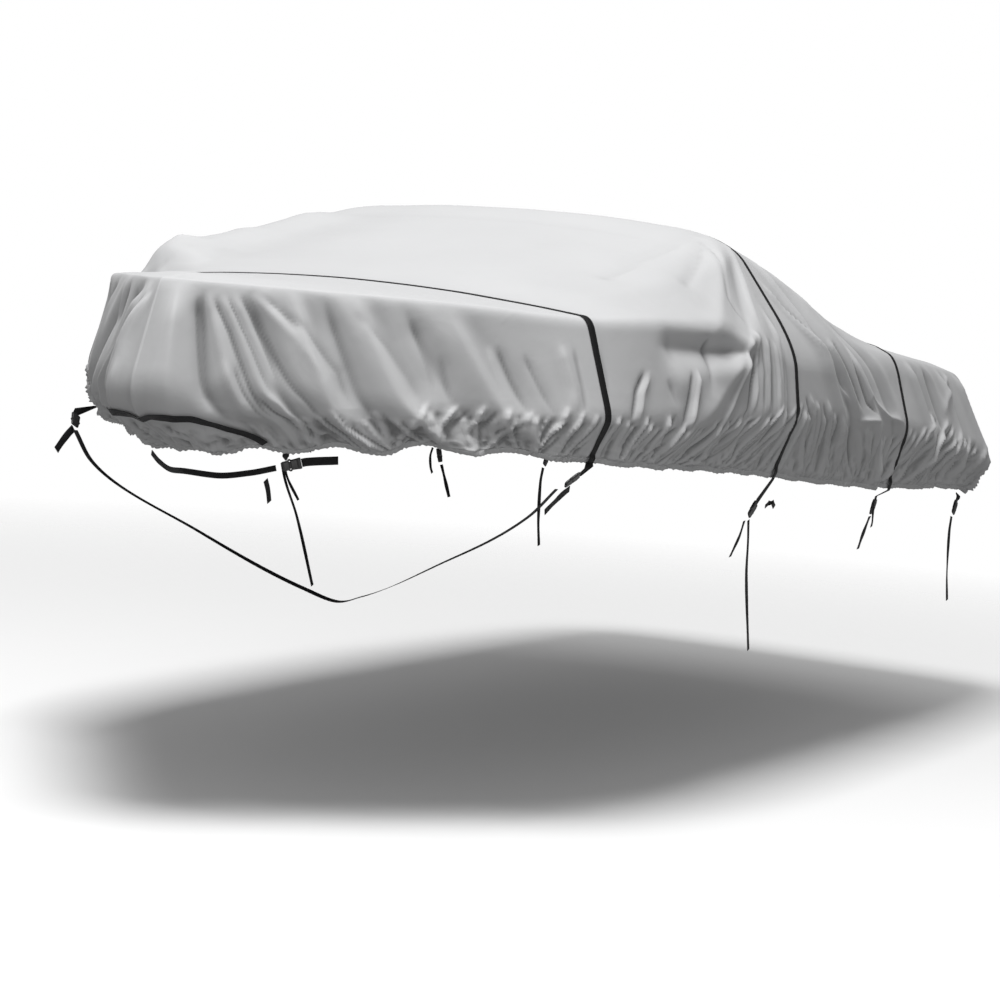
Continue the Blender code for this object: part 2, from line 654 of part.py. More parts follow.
def main():
    for obj in list(bpy.data.objects):
        bpy.data.objects.remove(obj, do_unlink=True)
    parts = bpy.data.collections.new(PARTS_NAME)
    bpy.context.scene.collection.children.link(parts)
    cloth = material("polyester_cloth", (0.62, 0.63, 0.64), 0.8)
    webbing = material("black_webbing", (0.018, 0.018, 0.020), 0.7)
    plastic = material("black_plastic", (0.020, 0.020, 0.022), 0.4)
    cover = make_cover(cloth)
    for name in STRAP_STATIONS:
        make_strap(name, webbing)
    make_arch(cover, webbing)
    for side, word in SIDE_NAMES.items():
        for name, (middle, towards) in BUCKLES.items():
            middle, towards = placed(middle, side), placed(towards, side)
            make_buckle(f"buckle_{name}_{word}", middle, towards, plastic)
            if name not in STRAP_STATIONS:
                make_tab(f"tab_{name}_{word}", placed(STERN_TAB, side), middle, towards, webbing)
        for name, (width, route) in TIES.items():
            ribbon(f"{name}_{word}", along_route([placed(p, side) for p in route]), width, webbing)
    for name, (width, route) in BELTS.items():
        half = along_route(route)
        port = half[:0:-1] * (1, -1, -1)
        star = half * (1, 1, -1)
        face = UPRIGHT if name == "belt_bow" else ALONG
        ribbon(name, np.concatenate([port, star]), width, webbing, face)
    middle, towards = placed(BOW_BUCKLE[0], "P"), placed(BOW_BUCKLE[1], "P")
    make_buckle("buckle_bow", middle, towards, plastic, UPRIGHT)
    make_tab("tab_bow_port", placed(BOW_TAB, "P"), middle, towards, webbing, UPRIGHT)
    ribbon("tie_bow", along_route([placed(p, "P") for p in TIE_BOW]), NARROW, webbing)


main()
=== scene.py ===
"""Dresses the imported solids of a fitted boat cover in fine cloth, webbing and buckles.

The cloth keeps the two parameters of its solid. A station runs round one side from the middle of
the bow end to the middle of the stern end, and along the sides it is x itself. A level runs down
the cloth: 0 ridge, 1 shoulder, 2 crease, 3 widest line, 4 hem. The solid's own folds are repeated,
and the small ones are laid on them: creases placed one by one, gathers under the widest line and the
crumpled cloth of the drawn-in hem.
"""

import bmesh
import bpy
import numpy as np
from mathutils import Matrix, Vector


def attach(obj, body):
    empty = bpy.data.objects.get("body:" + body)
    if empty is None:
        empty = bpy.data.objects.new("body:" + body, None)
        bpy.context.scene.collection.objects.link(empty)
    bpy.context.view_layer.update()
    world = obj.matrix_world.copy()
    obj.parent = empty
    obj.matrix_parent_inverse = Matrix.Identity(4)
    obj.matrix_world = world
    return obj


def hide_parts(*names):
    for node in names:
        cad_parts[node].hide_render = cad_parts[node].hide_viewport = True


bl_info = {
    "name": "Boat cover",
    "version": (1, 0, 0),
    "blender": (4, 5, 0),
    "location": "View3D > Sidebar > Boat cover",
    "description": "A fitted boat cover of woven polyester with sewn webbing, buckles and ties",
    "category": "Object",
}

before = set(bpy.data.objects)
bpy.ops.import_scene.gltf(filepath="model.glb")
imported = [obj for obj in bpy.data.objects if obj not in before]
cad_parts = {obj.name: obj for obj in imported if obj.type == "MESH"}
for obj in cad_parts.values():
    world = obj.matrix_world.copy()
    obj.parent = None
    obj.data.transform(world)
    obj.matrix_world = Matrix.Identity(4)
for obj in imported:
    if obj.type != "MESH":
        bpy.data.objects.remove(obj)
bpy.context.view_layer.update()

# Room between the cloth and the webbing on it, and between a buckle and its webbing
GAP = 0.0009
BUCKLE_GAP = 0.0010
WEBBING_WIDTH = 0.028
BOW_STRAP_WIDTH = 0.030
NARROW = 0.020

STRAP_STATIONS = {"fore": -1.415, "mid": 0.000, "aft": 1.244}
STRAP_WIDTHS = {"fore": BOW_STRAP_WIDTH, "mid": WEBBING_WIDTH, "aft": WEBBING_WIDTH}

# Sections. A drop is measured down from the origin, a half width out from the centreline.
# Bow end: station | top x, ridge drop, shoulder half, drop | crease x, half, drop
#          | widest x, half, drop | hem x, half, drop
BOW_SECTIONS = (
    (-2.800, -2.360, 0.319, 0.000, 0.323, -2.525, 0.000, 0.337, -2.672, 0.000, 0.735, -2.345, 0.000, 0.899),
    (-2.600, -2.340, 0.318, 0.090, 0.323, -2.450, 0.120, 0.339, -2.572, 0.145, 0.738, -2.300, 0.130, 0.878),
    (-2.350, -2.230, 0.317, 0.200, 0.324, -2.260, 0.305, 0.341, -2.360, 0.340, 0.735, -2.190, 0.315, 0.870),
    (-2.100, -2.050, 0.316, 0.330, 0.327, -2.040, 0.510, 0.343, -2.130, 0.538, 0.725, -2.020, 0.525, 0.845),
    (-1.800, -1.780, 0.315, 0.520, 0.334, -1.765, 0.755, 0.351, -1.820, 0.790, 0.712, -1.750, 0.800, 0.829),
)
# Sides: station = x | ridge drop | shoulder half, drop | crease half, drop | widest half, drop
#        | hem half, drop
SIDE_SECTIONS = (
    (-1.415, 0.305, 0.729, 0.340, 0.972, 0.365, 1.080, 0.697, 1.012, 0.852),
    (-1.150, 0.251, 0.800, 0.284, 1.055, 0.361, 1.138, 0.694, 1.078, 0.869),
    (-0.700, 0.144, 0.840, 0.189, 1.105, 0.374, 1.165, 0.689, 1.092, 0.893),
    (-0.300, 0.049, 0.845, 0.097, 1.118, 0.394, 1.172, 0.689, 1.092, 0.917),
    (-0.090, -0.009, 0.842, 0.038, 1.136, 0.423, 1.180, 0.689, 1.091, 0.933),
    (+0.000, -0.003, 0.840, 0.052, 1.144, 0.435, 1.182, 0.689, 1.090, 0.940),
    (+0.400, 0.076, 0.890, 0.159, 1.135, 0.449, 1.180, 0.704, 1.098, 0.974),
    (+0.800, 0.230, 0.945, 0.320, 1.110, 0.459, 1.178, 0.727, 1.100, 1.001),
    (+1.244, 0.349, 0.970, 0.421, 1.088, 0.474, 1.172, 0.759, 1.100, 1.024),
    (+1.700, 0.399, 0.945, 0.467, 1.066, 0.504, 1.160, 0.804, 1.088, 1.039),
    (+2.100, 0.434, 0.900, 0.497, 1.036, 0.537, 1.150, 0.849, 1.068, 1.052),
)
# Stern end: the same columns as the bow end
STERN_SECTIONS = (
    (+2.400, 2.360, 0.462, 0.840, 0.519, 2.390, 0.980, 0.559, 2.490, 1.125, 0.925, 2.440, 1.020, 1.075),
    (+2.650, 2.460, 0.474, 0.700, 0.517, 2.550, 0.880, 0.567, 2.745, 1.045, 0.955, 2.665, 0.905, 1.090),
    (+2.950, 2.500, 0.481, 0.450, 0.509, 2.630, 0.620, 0.571, 2.875, 0.745, 0.965, 2.775, 0.645, 1.095),
    (+3.250, 2.515, 0.484, 0.200, 0.503, 2.650, 0.270, 0.570, 2.905, 0.320, 0.968, 2.805, 0.280, 1.096),
    (+3.450, 2.520, 0.485, 0.000, 0.501, 2.655, 0.000, 0.569, 2.910, 0.000, 0.968, 2.810, 0.000, 1.097),
)
LEVELS = range(5)
RIDGE, SHOULDER, CREASE, WIDEST, HEM = LEVELS
# At the two ends the shoulder lies this share of the way out from the ridge to the crease
SHOULDER_REACH = 0.4

# How far each bend of a section is rounded, as a share of the band on either side:
# station | shoulder | crease | widest line
BENDS = (
    (-2.800, 0.30, 0.12, 0.30),
    (-2.250, 0.30, 0.12, 0.26),
    (-1.900, 0.30, 0.12, 0.18),
    (-1.415, 0.30, 0.13, 0.14),
    (-0.700, 0.30, 0.13, 0.15),
    (-0.350, 0.28, 0.16, 0.14),
    (+0.000, 0.22, 0.34, 0.13),
    (+0.800, 0.30, 0.40, 0.20),
    (+1.244, 0.30, 0.30, 0.15),
    (+2.100, 0.30, 0.24, 0.18),
    (+3.450, 0.30, 0.22, 0.36),
)
CROWN = 0.9

# Metres of cloth from the ridge down to each level, for measuring how far a point is from a fold
LEVEL_GIRTH = (0.0, 0.80, 1.16, 1.49, 1.74)

# Folds: sides (P, S or both) | from station, level | to station, level | half width | height
#        | runs out at the hem
# A height under nought is a trough. A fold narrower than FOLD_BROAD has a trough in its lee.
FOLDS = (
    ("PS", -2.71, 2.06, -2.64, 3.45, 0.110, +0.034, 0),
    ("P", -2.60, 2.12, -2.50, 3.15, 0.040, -0.020, 0),
    ("P", -2.45, 2.08, -2.20, 3.80, 0.045, -0.024, 0),
    ("PS", -2.33, 2.06, -2.08, 3.90, 0.042, +0.022, 1),
    ("P", -2.24, 2.06, -1.97, 3.85, 0.040, -0.020, 1),
    ("P", -2.16, 2.05, -1.84, 3.95, 0.045, +0.020, 1),
    ("P", -2.02, 2.08, -1.72, 3.70, 0.050, -0.014, 0),
    ("P", -1.90, 2.10, -1.58, 3.95, 0.050, +0.015, 1),
    ("S", -2.66, 2.12, -2.34, 3.20, 0.045, +0.020, 0),
    ("S", -2.38, 2.10, -2.02, 3.20, 0.060, -0.028, 0),
    ("S", -2.14, 2.08, -1.86, 3.40, 0.050, +0.016, 0),
    ("S", -1.24, 1.34, -1.18, 1.44, 0.115, +0.064, 0),
    ("S", -1.30, 1.20, -0.44, 1.04, 0.180, +0.062, 0),
    ("S", -1.34, 1.40, -1.24, 1.95, 0.060, -0.020, 0),
    ("S", -1.80, 2.05, -1.76, 3.30, 0.300, -0.028, 0),
    ("P", -0.14, 1.10, -0.62, 1.95, 0.060, +0.014, 0),
    ("PS", -0.34, 2.24, -0.98, 2.26, 0.060, -0.030, 0),
    ("PS", -0.10, 1.15, -0.36, 2.00, 0.050, -0.012, 0),
    ("P", -0.28, 1.95, -0.92, 3.30, 0.075, +0.018, 0),
    ("PS", -0.12, 1.70, -0.16, 3.20, 0.040, +0.018, 0),
    ("PS", -0.30, 2.05, -0.44, 3.40, 0.050, -0.016, 0),
    ("P", +0.12, 1.10, +0.52, 3.50, 0.055, +0.024, 0),
    ("PS", +0.24, 1.15, +0.72, 3.60, 0.055, -0.018, 0),
    ("PS", +0.38, 1.20, +0.98, 3.70, 0.060, +0.022, 1),
    ("S", +0.16, 1.20, +0.34, 3.20, 0.055, +0.020, 0),
    ("P", +0.70, 1.30, +1.12, 3.20, 0.050, -0.014, 0),
    ("PS", +1.40, 2.00, +1.66, 3.80, 0.060, +0.018, 1),
    ("PS", +1.62, 2.00, +1.90, 3.70, 0.055, -0.015, 0),
    ("P", +1.86, 2.00, +2.14, 3.90, 0.055, +0.017, 1),
    ("PS", +2.20, 1.95, +2.46, 3.90, 0.070, +0.022, 1),
    ("P", +2.50, 2.10, +2.62, 3.80, 0.055, -0.016, 0),
    ("PS", +2.85, 2.05, +2.90, 3.80, 0.060, +0.018, 1),
    ("S", +1.92, 2.05, +2.05, 3.70, 0.060, +0.016, 1),
)
FOLD_BROAD = 0.112
FOLD_LEE = 0.42
FOLD_LEE_AT = 1.7
FOLD_NARROW = 0.55
FOLD_WIDEN = 0.60
FOLD_LEAD = -0.03
FOLD_START = 0.10
FOLD_RUN_OUT = 1.2

# Slanting pleats between the widest line and the hem
PLEAT_PITCH = 0.255
PLEAT_SLANT = 0.35
PLEAT_HEIGHT = 0.009
PLEAT_TOP = 2.85
PLEAT_FULL = 3.70
# Uneven spacing of the pleats: amount | turns along the cloth | start
PLEAT_WANDER = ((0.9, 2.3, 0.7), (0.5, 5.9, 0.0))
PLEAT_SHIFT = {"P": 0.0, "S": 0.8}
# A strap holds the cloth flat this much, as far out as this share of its width
STRAP_HOLD = 0.96
STRAP_REACH = 1.6
# The folds begin between these levels on the top, and keep this share at the middle of the bow end
FOLDS_FROM = (0.50, 0.95)
STEM_SHARE = 0.35
END_REACH = 0.15
STEM_REACH = 0.10

# Small creases: sides | half width | height | route of (station, level)
CREASES = (
    # Bow end and fore side, down to the widest line, and the tips of the gathers there
    ("P", 0.016, -0.013, ((-2.56, 2.11), (-2.49, 2.39), (-2.42, 2.76), (-2.37, 3.10), (-2.34, 3.30))),
    ("P", 0.022, +0.011, ((-2.535, 2.09), (-2.46, 2.42), (-2.385, 2.80), (-2.33, 3.15))),
    ("P", 0.014, -0.009, ((-2.52, 2.09), (-2.42, 2.52), (-2.34, 2.92))),
    ("P", 0.020, +0.010, ((-2.50, 2.09), (-2.40, 2.50), (-2.31, 2.90))),
    ("P", 0.016, -0.011, ((-2.48, 2.08), (-2.385, 2.43), (-2.31, 2.73), (-2.25, 2.94), (-2.17, 3.45))),
    ("P", 0.024, +0.009, ((-2.45, 2.07), (-2.31, 2.40), (-2.22, 2.70), (-2.16, 3.00))),
    ("P", 0.022, -0.010, ((-2.42, 2.07), (-2.28, 2.34), (-2.17, 2.66), (-2.12, 3.00))),
    ("P", 0.030, -0.008, ((-2.16, 2.15), (-2.05, 2.43), (-1.98, 2.70), (-1.93, 2.95))),
    ("P", 0.012, +0.020, ((-1.93, 2.89), (-1.95, 3.08), (-1.93, 3.50), (-1.90, 3.85))),
    ("P", 0.012, +0.024, ((-1.85, 2.91), (-1.88, 3.12), (-1.91, 3.42))),
    ("P", 0.012, -0.014, ((-1.82, 2.96), (-1.85, 3.16), (-1.88, 3.42))),
    ("P", 0.012, +0.026, ((-1.78, 2.90), (-1.80, 3.12), (-1.84, 3.50))),
    ("P", 0.012, -0.014, ((-1.75, 2.95), (-1.77, 3.16), (-1.80, 3.46))),
    ("P", 0.012, +0.024, ((-1.71, 2.92), (-1.73, 3.12), (-1.76, 3.46))),
    ("P", 0.012, -0.013, ((-1.68, 2.97), (-1.70, 3.16), (-1.72, 3.40))),
    ("P", 0.012, +0.018, ((-1.65, 2.95), (-1.67, 3.12), (-1.69, 3.26))),
    ("P", 0.012, +0.022, ((-1.55, 2.88), (-1.57, 3.12), (-1.62, 3.52))),
    ("P", 0.012, +0.018, ((-1.50, 2.92), (-1.53, 3.18), (-1.59, 3.89))),
    ("P", 0.014, -0.014, ((-2.39, 2.88), (-2.31, 3.29), (-2.22, 3.87))),
    ("P", 0.020, +0.012, ((-2.36, 2.86), (-2.275, 3.29), (-2.19, 3.87))),
    ("P", 0.014, -0.010, ((-2.47, 2.62), (-2.40, 3.05), (-2.37, 3.35))),
    ("P", 0.016, +0.009, ((-2.50, 2.60), (-2.44, 3.02), (-2.41, 3.30))),
    ("P", 0.035, -0.016, ((-2.62, 2.12), (-2.55, 2.74), (-2.52, 3.06), (-2.50, 3.25))),
    ("P", 0.030, +0.010, ((-2.585, 2.08), (-2.50, 2.60), (-2.45, 3.00))),
    ("P", 0.026, -0.008, ((-2.00, 2.17), (-1.94, 2.55), (-1.90, 2.90))),
    ("P", 0.020, -0.007, ((-1.91, 2.45), (-1.86, 2.95))),
    ("P", 0.018, -0.010, ((-1.75, 2.35), (-1.70, 2.70), (-1.65, 3.02))),
    ("P", 0.022, +0.006, ((-1.78, 2.35), (-1.73, 2.70), (-1.69, 3.00))),
    ("P", 0.018, -0.008, ((-1.67, 2.40), (-1.62, 2.75), (-1.58, 3.04))),
    ("P", 0.024, +0.010, ((-1.545, 2.28), (-1.525, 2.70), (-1.53, 3.10))),
    ("P", 0.012, -0.007, ((-1.50, 2.30), (-1.495, 2.70), (-1.50, 3.10))),
    # Between the fore strap and the mid strap
    ("P", 0.012, -0.007, ((-1.40, 2.25), (-1.39, 2.55), (-1.40, 2.90))),
    ("P", 0.013, -0.015, ((-1.19, 2.52), (-1.25, 2.72), (-1.28, 2.92), (-1.30, 3.16))),
    ("P", 0.018, +0.011, ((-1.16, 2.54), (-1.22, 2.74), (-1.25, 2.94), (-1.27, 3.20))),
    ("P", 0.030, -0.008, ((-1.06, 2.58), (-1.01, 2.92))),
    ("P", 0.014, +0.017, ((-0.85, 2.50), (-0.89, 2.80), (-0.93, 3.05), (-0.97, 3.28))),
    ("P", 0.018, -0.013, ((-0.89, 2.50), (-0.93, 2.80), (-0.97, 3.05), (-1.00, 3.25))),
    ("P", 0.016, +0.016, ((-1.07, 2.98), (-1.11, 3.40), (-1.15, 3.81))),
    ("P", 0.014, -0.014, ((-1.03, 2.98), (-1.07, 3.40), (-1.10, 3.81))),
    ("P", 0.014, +0.012, ((-0.97, 3.28), (-1.02, 3.50), (-1.06, 3.75))),
    ("P", 0.050, -0.016, ((-0.70, 2.08), (-0.74, 2.45), (-0.77, 2.80))),
    ("P", 0.024, +0.016, ((-0.36, 2.05), (-0.47, 2.50), (-0.62, 2.98), (-0.74, 3.45), (-0.86, 3.92))),
    ("P", 0.013, -0.013, ((-0.32, 2.35), (-0.42, 2.95), (-0.56, 3.40), (-0.81, 3.92))),
    ("P", 0.016, +0.011, ((-0.60, 3.02), (-0.64, 3.35), (-0.67, 3.70))),
    # Upright pleats before the mid strap, and the creases of the high corner above them
    ("PS", 0.013, +0.014, ((-0.315, 1.96), (-0.32, 2.30), (-0.35, 2.70), (-0.40, 3.06))),
    ("PS", 0.012, -0.009, ((-0.275, 1.98), (-0.28, 2.50), (-0.31, 3.04))),
    ("PS", 0.013, +0.010, ((-0.240, 2.00), (-0.25, 2.50), (-0.27, 3.06))),
    ("PS", 0.012, -0.008, ((-0.205, 2.02), (-0.21, 2.50), (-0.23, 3.04))),
    ("PS", 0.012, +0.009, ((-0.170, 2.02), (-0.17, 2.50), (-0.19, 3.04))),
    ("PS", 0.012, -0.008, ((-0.135, 2.02), (-0.13, 2.50), (-0.15, 3.04))),
    ("PS", 0.012, +0.008, ((-0.100, 2.02), (-0.09, 2.50), (-0.11, 3.04))),
    ("P", 0.012, -0.010, ((-0.17, 3.01), (-0.23, 3.35), (-0.30, 3.72))),
    ("P", 0.045, -0.014, ((-0.06, 0.92), (-0.32, 0.90), (-0.57, 0.91), (-0.95, 0.96))),
    ("P", 0.045, -0.013, ((-0.13, 0.98), (-0.35, 1.14), (-0.62, 1.36))),
    ("P", 0.014, -0.008, ((-0.17, 1.02), (-0.24, 1.28), (-0.34, 1.58), (-0.30, 1.86))),
    ("P", 0.014, +0.007, ((-0.05, 1.02), (-0.14, 1.45), (-0.25, 1.90))),
    # Between the mid strap and the aft strap
    ("PS", 0.020, +0.013, ((0.05, 1.40), (0.19, 1.75), (0.35, 2.18), (0.50, 2.50), (0.62, 2.80))),
    ("PS", 0.016, -0.010, ((0.10, 1.50), (0.26, 1.85), (0.42, 2.25), (0.56, 2.60))),
    ("PS", 0.016, +0.012, ((0.44, 1.85), (0.54, 2.30), (0.67, 2.92))),
    ("PS", 0.014, -0.011, ((0.48, 1.85), (0.58, 2.30), (0.71, 2.90))),
    ("P", 0.026, +0.015, ((0.62, 1.60), (0.68, 2.15), (0.78, 2.62), (1.00, 2.86), (1.20, 2.96))),
    ("P", 0.014, -0.012, ((0.58, 1.80), (0.65, 2.30), (0.74, 2.75), (0.86, 2.94))),
    ("P", 0.026, +0.018, ((0.68, 3.00), (0.78, 2.98), (0.88, 2.98))),
    ("P", 0.014, +0.012, ((0.30, 2.76), (0.36, 3.15), (0.41, 3.60))),
    ("P", 0.012, -0.010, ((0.26, 2.80), (0.32, 3.20), (0.37, 3.60))),
    ("P", 0.012, +0.011, ((0.13, 2.70), (0.20, 3.20), (0.26, 3.87))),
    ("P", 0.012, -0.009, ((0.09, 2.72), (0.16, 3.20), (0.22, 3.87))),
    ("P", 0.014, +0.014, ((0.44, 3.02), (0.47, 3.30), (0.47, 3.58))),
    ("P", 0.013, -0.011, ((0.48, 3.04), (0.51, 3.30), (0.51, 3.60))),
    ("P", 0.016, +0.012, ((0.74, 3.05), (0.78, 3.35), (0.92, 3.75))),
    # Stern, aft of the aft strap
    ("PS", 0.045, +0.014, ((2.02, 2.00), (1.92, 2.35), (1.80, 2.70))),
    ("PS", 0.018, +0.017, ((1.65, 2.70), (1.50, 3.05), (1.29, 3.60))),
    ("PS", 0.016, -0.013, ((1.71, 2.76), (1.56, 3.12), (1.36, 3.66))),
    ("PS", 0.018, +0.016, ((1.85, 2.74), (1.70, 3.15), (1.50, 3.83))),
    ("PS", 0.016, -0.013, ((1.91, 2.78), (1.76, 3.20), (1.58, 3.83))),
    ("PS", 0.018, +0.016, ((2.00, 2.84), (1.90, 3.30), (1.79, 3.83))),
    ("PS", 0.016, -0.013, ((2.06, 2.86), (1.96, 3.30), (1.85, 3.83))),
    ("PS", 0.017, +0.015, ((2.18, 2.86), (2.10, 3.30), (2.03, 3.80))),
    ("PS", 0.015, -0.012, ((2.24, 2.88), (2.17, 3.30), (2.10, 3.80))),
    ("PS", 0.016, +0.013, ((2.34, 2.85), (2.31, 3.20), (2.28, 3.60))),
    # Starboard alone, from the bow to the aft strap
    ("S", 0.090, -0.036, ((-2.66, 3.42), (-2.50, 3.70), (-2.20, 3.90))),
    ("S", 0.060, +0.012, ((-1.16, 1.30), (-0.95, 1.16), (-0.70, 1.10))),
    ("S", 0.026, +0.014, ((-2.76, 2.12), (-2.66, 2.60), (-2.50, 3.08))),
    ("S", 0.016, -0.012, ((-2.72, 2.12), (-2.60, 2.62), (-2.44, 3.10))),
    ("S", 0.022, +0.014, ((-2.67, 2.13), (-2.54, 2.60), (-2.36, 3.08))),
    ("S", 0.030, -0.014, ((-2.55, 2.12), (-2.40, 2.60), (-2.22, 3.10))),
    ("S", 0.018, +0.008, ((-2.70, 2.68), (-2.68, 3.00), (-2.66, 3.25))),
    ("S", 0.022, -0.012, ((-2.06, 2.12), (-1.92, 2.60), (-1.84, 3.00))),
    ("S", 0.022, +0.010, ((-1.80, 2.20), (-1.70, 2.70), (-1.66, 3.02))),
    ("S", 0.020, -0.010, ((-1.64, 2.30), (-1.58, 2.75), (-1.55, 3.04))),
    ("S", 0.020, +0.014, ((-1.10, 2.40), (-1.18, 2.80), (-1.22, 3.20))),
    ("S", 0.016, -0.012, ((-0.86, 2.50), (-0.94, 3.00), (-1.02, 3.50))),
    ("S", 0.018, +0.014, ((-0.82, 2.45), (-0.90, 2.98), (-0.98, 3.50))),
    ("S", 0.022, +0.015, ((-0.40, 2.10), (-0.52, 2.60), (-0.66, 3.20), (-0.76, 3.90))),
    ("S", 0.022, +0.013, ((0.80, 1.90), (0.92, 2.45), (1.08, 2.90))),
    ("S", 0.016, -0.011, ((0.86, 2.00), (0.98, 2.50), (1.13, 2.92))),
)
# A crest is rounded this far out from its middle line, and falls away at this rate, in half widths
CREST_TOP = 0.14
CREST_FALL = 1.5
# A crease fades in and out over these lengths, widens along its route and is worked out this far from it
CREASE_LEAD = -0.01
CREASE_START = 0.05
CREASE_END = 0.09
CREASE_NARROW = 0.75
CREASE_WIDEN = 0.5
CREASE_REACH = 6

# Gathers below the widest line: station | spacing | slant, metres of station a level | height
#          | level of the tip
GATHERS = (
    (-2.80, 0.085, +0.05, 0.005, 3.35),
    (-2.45, 0.060, +0.10, 0.008, 3.30),
    (-2.20, 0.044, +0.08, 0.014, 3.08),
    (-1.95, 0.046, +0.00, 0.016, 3.05),
    (-1.60, 0.040, -0.06, 0.016, 3.02),
    (-1.30, 0.048, -0.06, 0.015, 3.04),
    (-0.90, 0.066, -0.20, 0.015, 3.08),
    (-0.40, 0.066, -0.36, 0.016, 3.00),
    (-0.05, 0.046, -0.20, 0.014, 2.92),
    (+0.20, 0.056, +0.10, 0.014, 2.84),
    (+0.70, 0.080, +0.15, 0.013, 3.10),
    (+1.15, 0.084, -0.10, 0.013, 3.08),
    (+1.40, 0.070, -0.34, 0.016, 2.96),
    (+1.90, 0.062, -0.25, 0.018, 2.88),
    (+2.40, 0.058, -0.10, 0.017, 2.88),
    (+2.90, 0.070, +0.02, 0.014, 2.94),
    (+3.45, 0.076, +0.00, 0.013, 2.98),
)
GATHER_SEEDS = {"P": 11, "S": 29}
# Gathers and the smaller ones between them: place, as a share of the spacing | height | width
GATHER_RANKS = ((0.0, 1.0, 1.0), (0.5, 0.55, 0.875))
GATHER_WIDTH = 0.26
GATHER_LEE = 0.55
GATHER_LEE_AT = 1.9
GATHER_REACH = 5
GATHER_FADE = 0.16
# How far chance changes each gather: height, spacing as a share of that, width, slant, bend and tip
UNEVEN = 0.42
UNEVEN_SPACING = 0.8
UNEVEN_WIDTH = 0.3
UNEVEN_SLANT = 0.05
UNEVEN_BEND = 0.06
UNEVEN_TIP = 0.10
# The smaller gathers start this many levels lower, give or take
SMALLER_LOWER = 0.42
SMALLER_UNEVEN = 0.12

# Soft unevenness of the whole cloth: cell size | height on the top | on the sides | by the hem
CRUMPLE_LEVELS = (0, 1.8, 2.2, 3.0, 3.6)
CRUMPLES = (
    (0.310, 0.0040, 0.0045, 0.0040),
    (0.130, 0.0010, 0.0014, 0.0030),
    (0.055, 0.0002, 0.0003, 0.0012),
)
# Crushed cloth below the bow arch: height and cell of its ridges, and cell and height of the finer ones
BOW_CRUMPLE = 0.011
BOW_CRUMPLE_CELL = 0.060
BOW_FINER_CELL = 0.45
BOW_FINER = 0.4
# It begins this many levels below the arch, and ends over this length before the arch's foot
BELOW_ARCH = (0.06, 0.20)
ARCH_FOOT = -2.38
BOW_FADE = 0.06
# Crushed cloth above the hem, drawn out down the cloth
HEM_CRUSH = 0.009
HEM_CRUSH_CELL = 0.028
HEM_CRUSH_FROM = 3.45
RIDGES_ACROSS = 1.3
LOOPS_ACROSS = 0.6
# Where each noise starts on its lattice, and what it adds to the seed of its side
CRUMPLE_START = 9
CRUMPLE_STEP = 3
BOW_START, BOW_SEED = 5, 7
FINER_START, FINER_SEED = 7, 8
LOOPS_START, LOOPS_SEED = 3, 11
LATTICE_SIZE = 64

# The small folds are pressed flat by a strap: share | reach, as a share of the strap's width
STRAP_PRESS = 0.97
STRAP_PRESS_REACH = 0.9
# and by the bow arch: share | reach in levels | length over which it ends
ARCH_PRESS = 0.9
ARCH_PRESS_LEVELS = 0.12
ARCH_PRESS_FADE = 0.04
# and are calmer at the hem: share | from and to, in levels above it
HEM_CALM = 0.8
HEM_CALM_LEVELS = (0.14, 0.02)
# They begin over these: levels down from the ridge, and lengths from the stern end and the bow end
SMALL_FROM_RIDGE = 0.5
SMALL_FROM_STERN = 0.10
SMALL_FROM_BOW = 0.06

# Painted shade in the valleys of the folds and a painted highlight on their crests, by depth below the
# neighbours: neighbours this many columns and rows away | depth that counts in full, as a share of half
# the distance between them
PAINTED_FOLD_SHADE_SPANS = ((2, 0.80), (5, 1.20))
# What counts of it along the cover and down the cloth
PAINTED_FOLD_SHADE_SHARES = (1.0, 0.5)

# The cloth is laid out in panels that part under the straps: name | from, to station | columns
#          | flat size before it was sewn, across the cover by along it | area
PANELS = (
    ("cloth_bow", -2.800, -1.415, 188, (3.50, 1.60), 3.0),
    ("cloth_fore", -1.415, 0.000, 188, (3.60, 1.45), 5.1),
    ("cloth_aft", 0.000, 1.244, 166, (3.60, 1.30), 4.5),
    ("cloth_stern", 1.244, 3.450, 188, (3.60, 2.30), 6.0),
)
# Rows of the cloth between levels, as (from, to, cells)
ROW_RUNS = ((0.0, 0.85, 12), (0.85, 2.0, 26), (2.0, 2.85, 32), (2.85, 3.96, 60))

# The hem: a channel of gathered cloth carried along the cloth at this level
HEM_LEVEL = 3.95
HEM_COLUMNS = 2400
HEM_AROUND = 12
# Puckers of the hem: spacing | height
PUCKERS = ((0.017, 0.0024), (0.024, 0.0018), (0.061, 0.0010))
# The puckers wander along the hem by this many radians, by noise of this cell on a row of its own for
# each spacing, and slant round it by a chance between these, times the lean
PUCKER_WANDER = 2.6
PUCKER_WANDER_CELL = 0.17
PUCKER_ROWS = 40
PUCKER_SLANT = (0.4, 1.2)
PUCKER_LEAN = 2
PUCKER_SEEDS = {"slant": 5, "wander": 3, "size": 9}
# They swell and shrink along the hem: least share, more by noise of this cell
PUCKER_SHARES = (0.6, 0.4)
PUCKER_CELL = 0.23
# Share of a pucker that also makes the hem higher
PUCKER_RAISE = 0.5
# The hem's own direction is taken from this many levels above to below it
HEM_SPAN = 0.06

# The bow arch: station | level of its middle line, from the middle of the bow end out to each foot
ARCH = (
    *((-2.800, 3.30), (-2.740, 3.20), (-2.660, 3.15), (-2.600, 3.17)),
    *((-2.550, 3.27), (-2.500, 3.45), (-2.460, 3.64), (-2.420, 3.84)),
)

